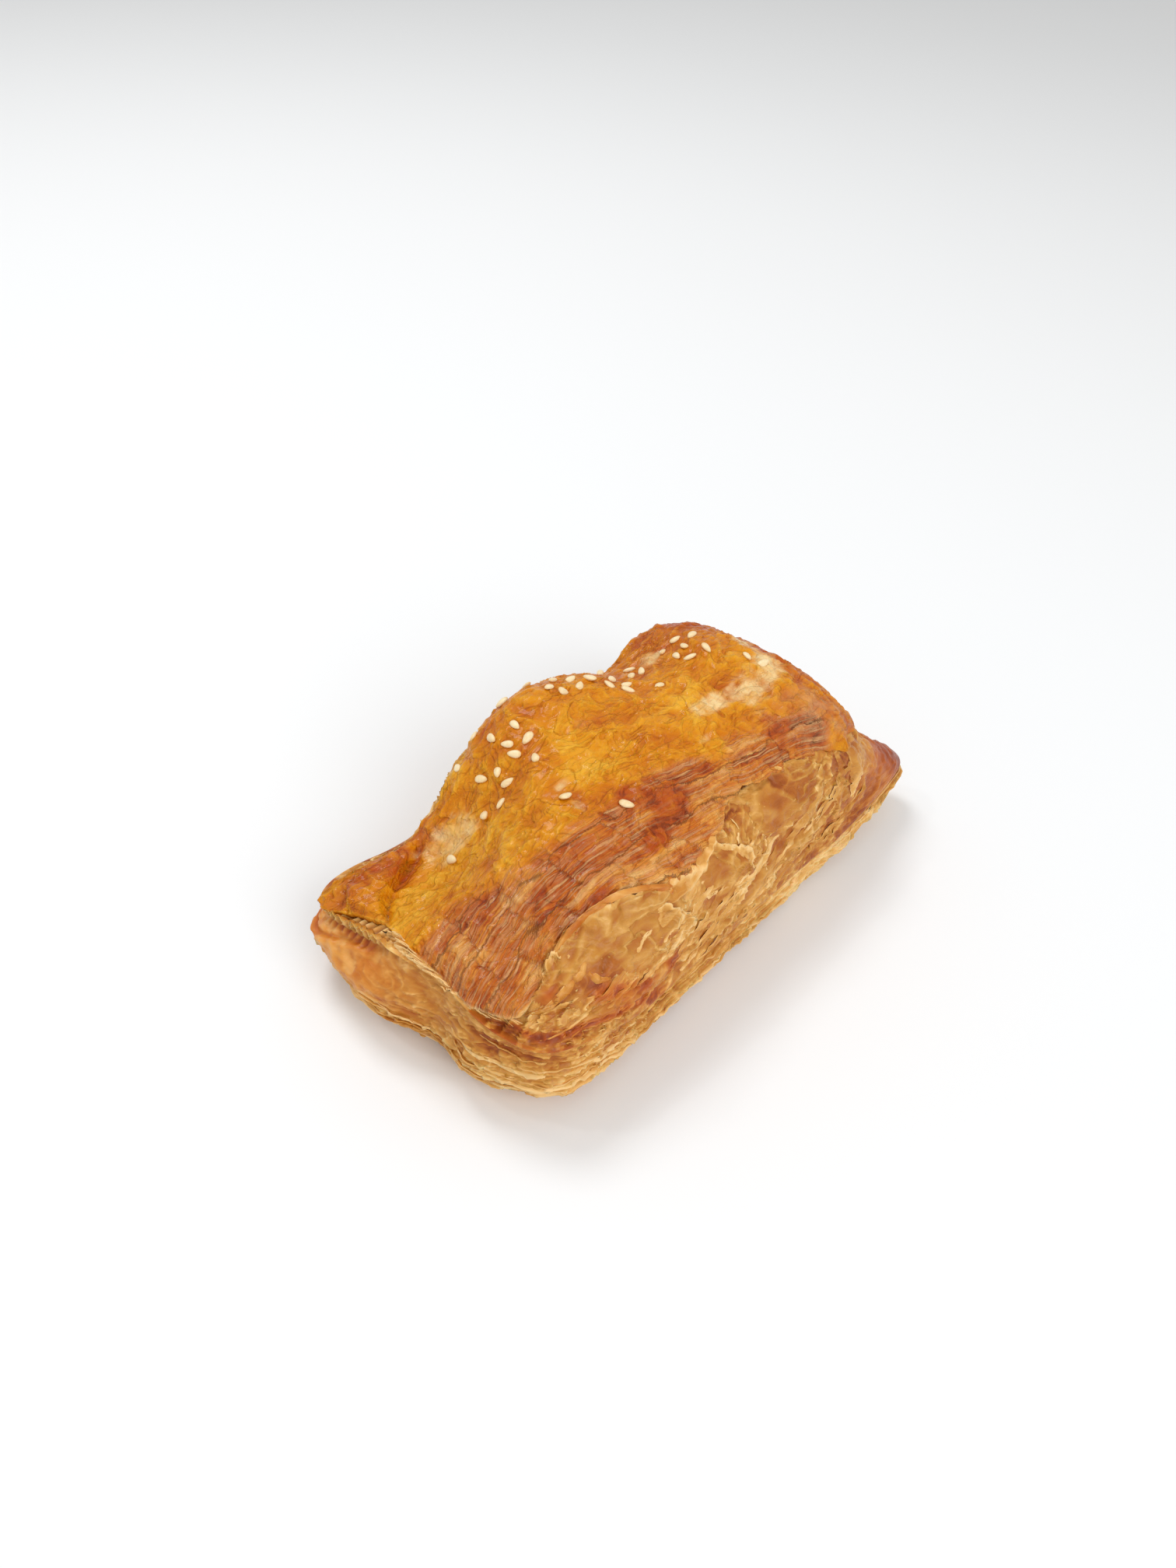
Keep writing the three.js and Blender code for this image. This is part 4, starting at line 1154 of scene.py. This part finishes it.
class Nodes:
    """Short calls for building a material's nodes. A value is a number, a colour or another node's socket."""

    noise_roughness = 0.55
    noise_low = 0.3
    noise_high = 0.7

    def __init__(self, name):
        self.material = bpy.data.materials.new(name)
        self.material.use_nodes = True
        self.tree = self.material.node_tree
        self.shader = self.tree.nodes["Principled BSDF"]
        self.coordinates = self.add("ShaderNodeTexCoord").outputs["Object"]

    def add(self, kind, **settings):
        node = self.tree.nodes.new(kind)
        for key, value in settings.items():
            setattr(node, key, value)
        return node

    def feed(self, node, values):
        """Link or set a node's inputs, given by name or number."""
        for key, value in values.items():
            if isinstance(value, bpy.types.NodeSocket):
                self.tree.links.new(value, node.inputs[key])
            else:
                node.inputs[key].default_value = value

    def field(self, name):
        return self.add("ShaderNodeAttribute", attribute_name=name).outputs["Fac"]

    def place(self, *fields):
        """Coordinates from three fields in millimetres, in metres like the object's own."""
        node = self.add("ShaderNodeCombineXYZ")
        self.feed(node, dict(enumerate(self.math("MULTIPLY", self.field(field), MM) for field in fields)))
        return node.outputs["Vector"]

    def noise(self, size_mm, detail=4.0, stretch=(1, 1, 1), distortion=0.0, place=None, kind="FBM"):
        """Noise with features of about that many millimetres, longer along an axis with a stretch over 1."""
        mapping = self.add("ShaderNodeMapping")
        scale = [1 / (size_mm * MM * s) for s in stretch]
        self.feed(mapping, {"Vector": place or self.coordinates, "Scale": scale})
        noise = self.add("ShaderNodeTexNoise", noise_type=kind)
        self.feed(noise, {"Vector": mapping.outputs["Vector"], "Scale": 1.0, "Detail": detail})
        self.feed(noise, {"Roughness": self.noise_roughness, "Distortion": distortion})
        return noise.outputs["Fac"]

    def math(self, operation, *values):
        node = self.add("ShaderNodeMath", operation=operation)
        self.feed(node, dict(enumerate(values)))
        return node.outputs["Value"]

    def add_up(self, total, *pairs):
        """A value with others added to it in turn, each times its weight."""
        for value, weight in pairs:
            total = self.math("MULTIPLY_ADD", value, weight, total)
        return total

    def ridges(self, noise, sharpness):
        """Thin wandering lines along the middle values of a noise, 1 on the lines."""
        away = self.math("ABSOLUTE", self.math("SUBTRACT", noise, 0.5))
        return self.math("MAXIMUM", self.math("MULTIPLY_ADD", away, -sharpness, 1.0), 0.0)

    def spread(self, value, low, high):
        """A noise value stretched to run from low to high."""
        node = self.add("ShaderNodeMapRange")
        self.feed(node, {"Value": value, "From Min": self.noise_low, "From Max": self.noise_high})
        self.feed(node, {"To Min": low, "To Max": high})
        return node.outputs["Result"]

    def ramp(self, value, stops):
        node = self.add("ShaderNodeValToRGB")
        elements = node.color_ramp.elements
        while len(elements) < len(stops):
            elements.new(0.5)
        for element, (position, colour) in zip(elements, stops):
            element.position = position
            element.color = srgb(*colour)
        self.feed(node, {"Fac": value})
        return node.outputs["Color"]

    def blend(self, factor, a, b):
        node = self.add("ShaderNodeMix", data_type="RGBA")
        self.feed(node, {"Factor": factor, 6: a, 7: b})
        return node.outputs[2]

    def bump(self, height, distance_mm, strength):
        node = self.add("ShaderNodeBump")
        self.feed(node, {"Height": height, "Distance": distance_mm * MM, "Strength": strength})
        self.set(Normal=node.outputs["Normal"])

    def set(self, **values):
        self.feed(self.shader, {key.replace("_", " "): value for key, value in values.items()})


# Colours by bake, as screens show them
SKIN_STOPS = [
    (0.0, (235, 172, 44)), (0.22, (223, 146, 16)), (0.42, (209, 122, 4)),
    (0.62, (190, 97, 12)), (0.8, (180, 76, 14)), (1.0, (122, 47, 14)),
]
BAND_STOPS = [
    (0.0, (234, 172, 96)), (0.25, (222, 146, 60)), (0.45, (207, 118, 34)),
    (0.65, (190, 90, 20)), (0.85, (164, 64, 14)), (1.0, (128, 46, 12)),
]
CRUMB_STOPS = [
    (0.0, (246, 204, 138)), (0.25, (228, 173, 94)), (0.5, (202, 140, 58)),
    (0.75, (181, 106, 36)), (1.0, (150, 72, 24)),
]
SEED_STOPS = [(0.0, (248, 228, 184)), (0.7, (226, 184, 118))]
PALE_COLOUR = srgb(243, 210, 150)
# Pale crests of the streaks: partly the band's own pale streaks, partly painted sheen
STREAK_SHEEN_COLOUR = srgb(227, 168, 108)
FLOOR_COLOURS = (srgb(244, 246, 248), srgb(240, 242, 244))


def skin_material():
    nodes = Nodes("glazed_skin")
    band = nodes.field("streak")
    pale = nodes.field("pale")
    mottled = nodes.spread(nodes.noise(3.4, 5.0, (1.8, 1, 1), 0.9), -0.07, 0.07)
    fine = nodes.spread(nodes.noise(0.5, 3.0), -0.02, 0.02)
    veins = nodes.noise(4.0, 4.0, (2.2, 1, 1.2), 0.7, kind="RIDGED_MULTIFRACTAL")
    lines = nodes.noise(0.5, 2.0, (20, 1, 1), 0.5, place=nodes.place("along", "across", "block"))
    streaks = nodes.math("MULTIPLY", nodes.spread(lines, -0.3, 0.3), band)
    # Crests of the streak lines take the pale streak colour: partly the band's own streaks, partly painted
    # sheen.
    crests = nodes.math("MULTIPLY", nodes.math("MAXIMUM", nodes.spread(lines, -0.7, 0.85), 0.0), band)
    wrinkles = nodes.ridges(nodes.noise(6.0, 1.5, (1.8, 1, 1), 1.2), 16.0)
    creases = nodes.ridges(nodes.noise(2.4, 1.5, (2.2, 1, 1), 0.8), 10.0)
    # Thin furrows are darkened in the colour and sunk in the bump: painted shade in the furrows.
    furrows = nodes.ridges(nodes.noise(6.5, 2.0, (1.4, 1, 1), 1.0), 22.0)
    furrows = nodes.math("MULTIPLY", furrows, nodes.math("SUBTRACT", 1.0, pale))
    level = nodes.add_up(nodes.field("bake"), (mottled, 1.0), (fine, 1.0), (0.1, 1.0), (veins, -0.06))
    level = nodes.add_up(level, (wrinkles, -0.12), (creases, -0.03), (furrows, 0.12), (streaks, 1.0))
    colour = nodes.blend(band, nodes.ramp(level, SKIN_STOPS), nodes.ramp(level, BAND_STOPS))
    uneven = nodes.spread(nodes.noise(2.4, 6.0, (1, 2.4, 1), 0.3), 0.1, 1.25)
    colour = nodes.blend(crests, colour, STREAK_SHEEN_COLOUR)
    colour = nodes.blend(nodes.math("MULTIPLY", pale, uneven), colour, PALE_COLOUR)
    height = nodes.add_up(nodes.noise(2.2, 4.0, distortion=1.0), (nodes.noise(0.8, 5.0), 0.4), (streaks, 1.6))
    height = nodes.add_up(height, (veins, 0.3), (wrinkles, 0.7), (creases, 0.4), (furrows, -0.6))
    nodes.bump(height, 0.5, 0.8)
    nodes.set(Base_Color=colour, Roughness=nodes.spread(nodes.noise(1.4, 4.0), 0.26, 0.46))
    nodes.set(Coat_Weight=0.2, Coat_Roughness=0.1, Specular_IOR_Level=0.12)
    nodes.set(Subsurface_Weight=0.12, Subsurface_Radius=(0.004, 0.002, 0.0008), Subsurface_Scale=0.4)
    return nodes.material


def crumb_material(name, subsurface, mottle):
    nodes = Nodes(name)
    glaze = nodes.field("glaze")
    grain = nodes.spread(nodes.noise(1.0, 4.0, (6, 6, 1)), -0.06, 0.06)
    mottled = nodes.spread(nodes.noise(4.5, 4.0, (2, 2, 1), 0.5), -mottle, mottle)
    patchy = nodes.math("MAXIMUM", nodes.spread(nodes.noise(16.0, 3.0), 0.1, 1.4), 0.1)
    creased = nodes.math("MULTIPLY", nodes.math("MULTIPLY_ADD", glaze, -0.8, 1.0), patchy)
    wrinkles = nodes.ridges(nodes.noise(6.5, 1.5, (2.2, 2.2, 1), 1.2), 22.0)
    wrinkles = nodes.math("MULTIPLY", wrinkles, creased)
    creases = nodes.ridges(nodes.noise(2.6, 1.0, (2.5, 2.5, 1), 1.0), 14.0)
    creases = nodes.math("MULTIPLY", creases, creased)
    # Paler at the torn rims of sheets, flakes and layer edges: partly their own paler colour, partly painted
    # light glowing through the thin edges.
    level = nodes.add_up(nodes.field("bake"), (grain, 1.0), (mottled, 1.0), (nodes.field("rim"), -0.38))
    level = nodes.add_up(level, (0.15, 1.0), (wrinkles, -0.3), (creases, -0.1))
    colour = nodes.blend(glaze, nodes.ramp(level, CRUMB_STOPS), nodes.ramp(level, BAND_STOPS))
    height = nodes.add_up(nodes.noise(0.7, 4.0, (4, 4, 1)), (nodes.noise(1.8, 3.0), 1.0))
    height = nodes.add_up(height, (wrinkles, 1.2), (creases, 0.6))
    nodes.bump(height, 0.25, 0.6)
    nodes.set(Base_Color=colour, Roughness=nodes.spread(nodes.noise(2.0, 3.0), 0.26, 0.44))
    nodes.set(Specular_IOR_Level=0.28, Subsurface_Weight=subsurface)
    nodes.set(Subsurface_Radius=(0.004, 0.0022, 0.001), Subsurface_Scale=0.4)
    return nodes.material


def seed_material():
    nodes = Nodes("sesame")
    level = nodes.add_up(nodes.field("bake"), (nodes.spread(nodes.noise(0.6, 3.0), -0.15, 0.15), 1.0))
    nodes.bump(nodes.noise(0.5, 3.0), 0.05, 0.5)
    nodes.set(Base_Color=nodes.ramp(level, SEED_STOPS), Roughness=nodes.spread(nodes.noise(1.0), 0.35, 0.5))
    nodes.set(Subsurface_Weight=0.15, Subsurface_Radius=(0.002, 0.0014, 0.0008), Subsurface_Scale=0.4)
    return nodes.material


def add_floor():
    bpy.ops.mesh.primitive_plane_add(size=FLOOR_SIZE, location=(0, 0, -FLOOR_DROP))
    floor = bpy.context.object
    floor.name = "floor"
    nodes = Nodes("pale_floor")
    tint = nodes.spread(nodes.noise(300.0, 2.0), 0.0, 0.15)
    nodes.set(Base_Color=nodes.blend(tint, *FLOOR_COLOURS), Roughness=0.6)
    floor.data.materials.append(nodes.material)


def set_light():
    world = bpy.data.worlds.new("studio")
    world.use_nodes = True
    background = world.node_tree.nodes["Background"]
    background.inputs["Color"].default_value = SKY_COLOUR
    background.inputs["Strength"].default_value = SKY_STRENGTH
    scene = bpy.context.scene
    scene.world = world
    scene.view_settings.view_transform = "Standard"
    scene.view_settings.look = "None"
    for name, location, size, power in LIGHTS:
        data = bpy.data.lights.new(name, "AREA")
        data.shape = "DISK"
        data.size = size
        data.energy = power
        light = bpy.data.objects.new(name, data)
        light.location = location
        direction = Vector(LIGHT_TARGET) - Vector(location)
        light.rotation_euler = direction.to_track_quat("-Z", "Y").to_euler()
        bpy.context.collection.objects.link(light)


def add_camera():
    """The photograph's view: where its lens stood over the table, and how it was pitched and rolled."""
    stand = Vector((-152.18, -112.48, 204.34)) * MM
    heading = math.radians(50.2)
    pitch = math.radians(42.99)
    roll = math.radians(4.17)
    focal_px = 1500.0
    frame_height_px = 2016.0
    sensor_mm = 36.0
    level_right = Vector((math.cos(heading), -math.sin(heading), 0))
    level_ahead = Vector((math.sin(heading), math.cos(heading), 0))
    ahead = level_ahead * math.cos(pitch) - Vector((0, 0, math.sin(pitch)))
    up = level_ahead * math.sin(pitch) + Vector((0, 0, math.cos(pitch)))
    right = level_right * math.cos(roll) + up * math.sin(roll)
    up = up * math.cos(roll) - level_right * math.sin(roll)
    data = bpy.data.cameras.new("camera")
    data.sensor_width = sensor_mm
    data.lens = sensor_mm * focal_px / frame_height_px
    data.clip_start = 0.01
    camera = bpy.data.objects.new("camera", data)
    turn = Matrix((right, up, -ahead)).transposed().to_4x4()
    camera.matrix_world = Matrix.Translation(stand) @ turn
    bpy.context.collection.objects.link(camera)
    bpy.context.scene.camera = camera


skin_look = skin_material()
crumb_look = crumb_material("layered_crumb", subsurface=0.3, mottle=0.08)
flake_look = crumb_material("torn_flake", subsurface=0.0, mottle=0.06)
skin_surface = make_skin(skin_look)
make_core(crumb_look)
make_flakes(flake_look)
make_layers(flake_look)
make_seeds(skin_surface, seed_material())
add_floor()
set_light()
add_camera()
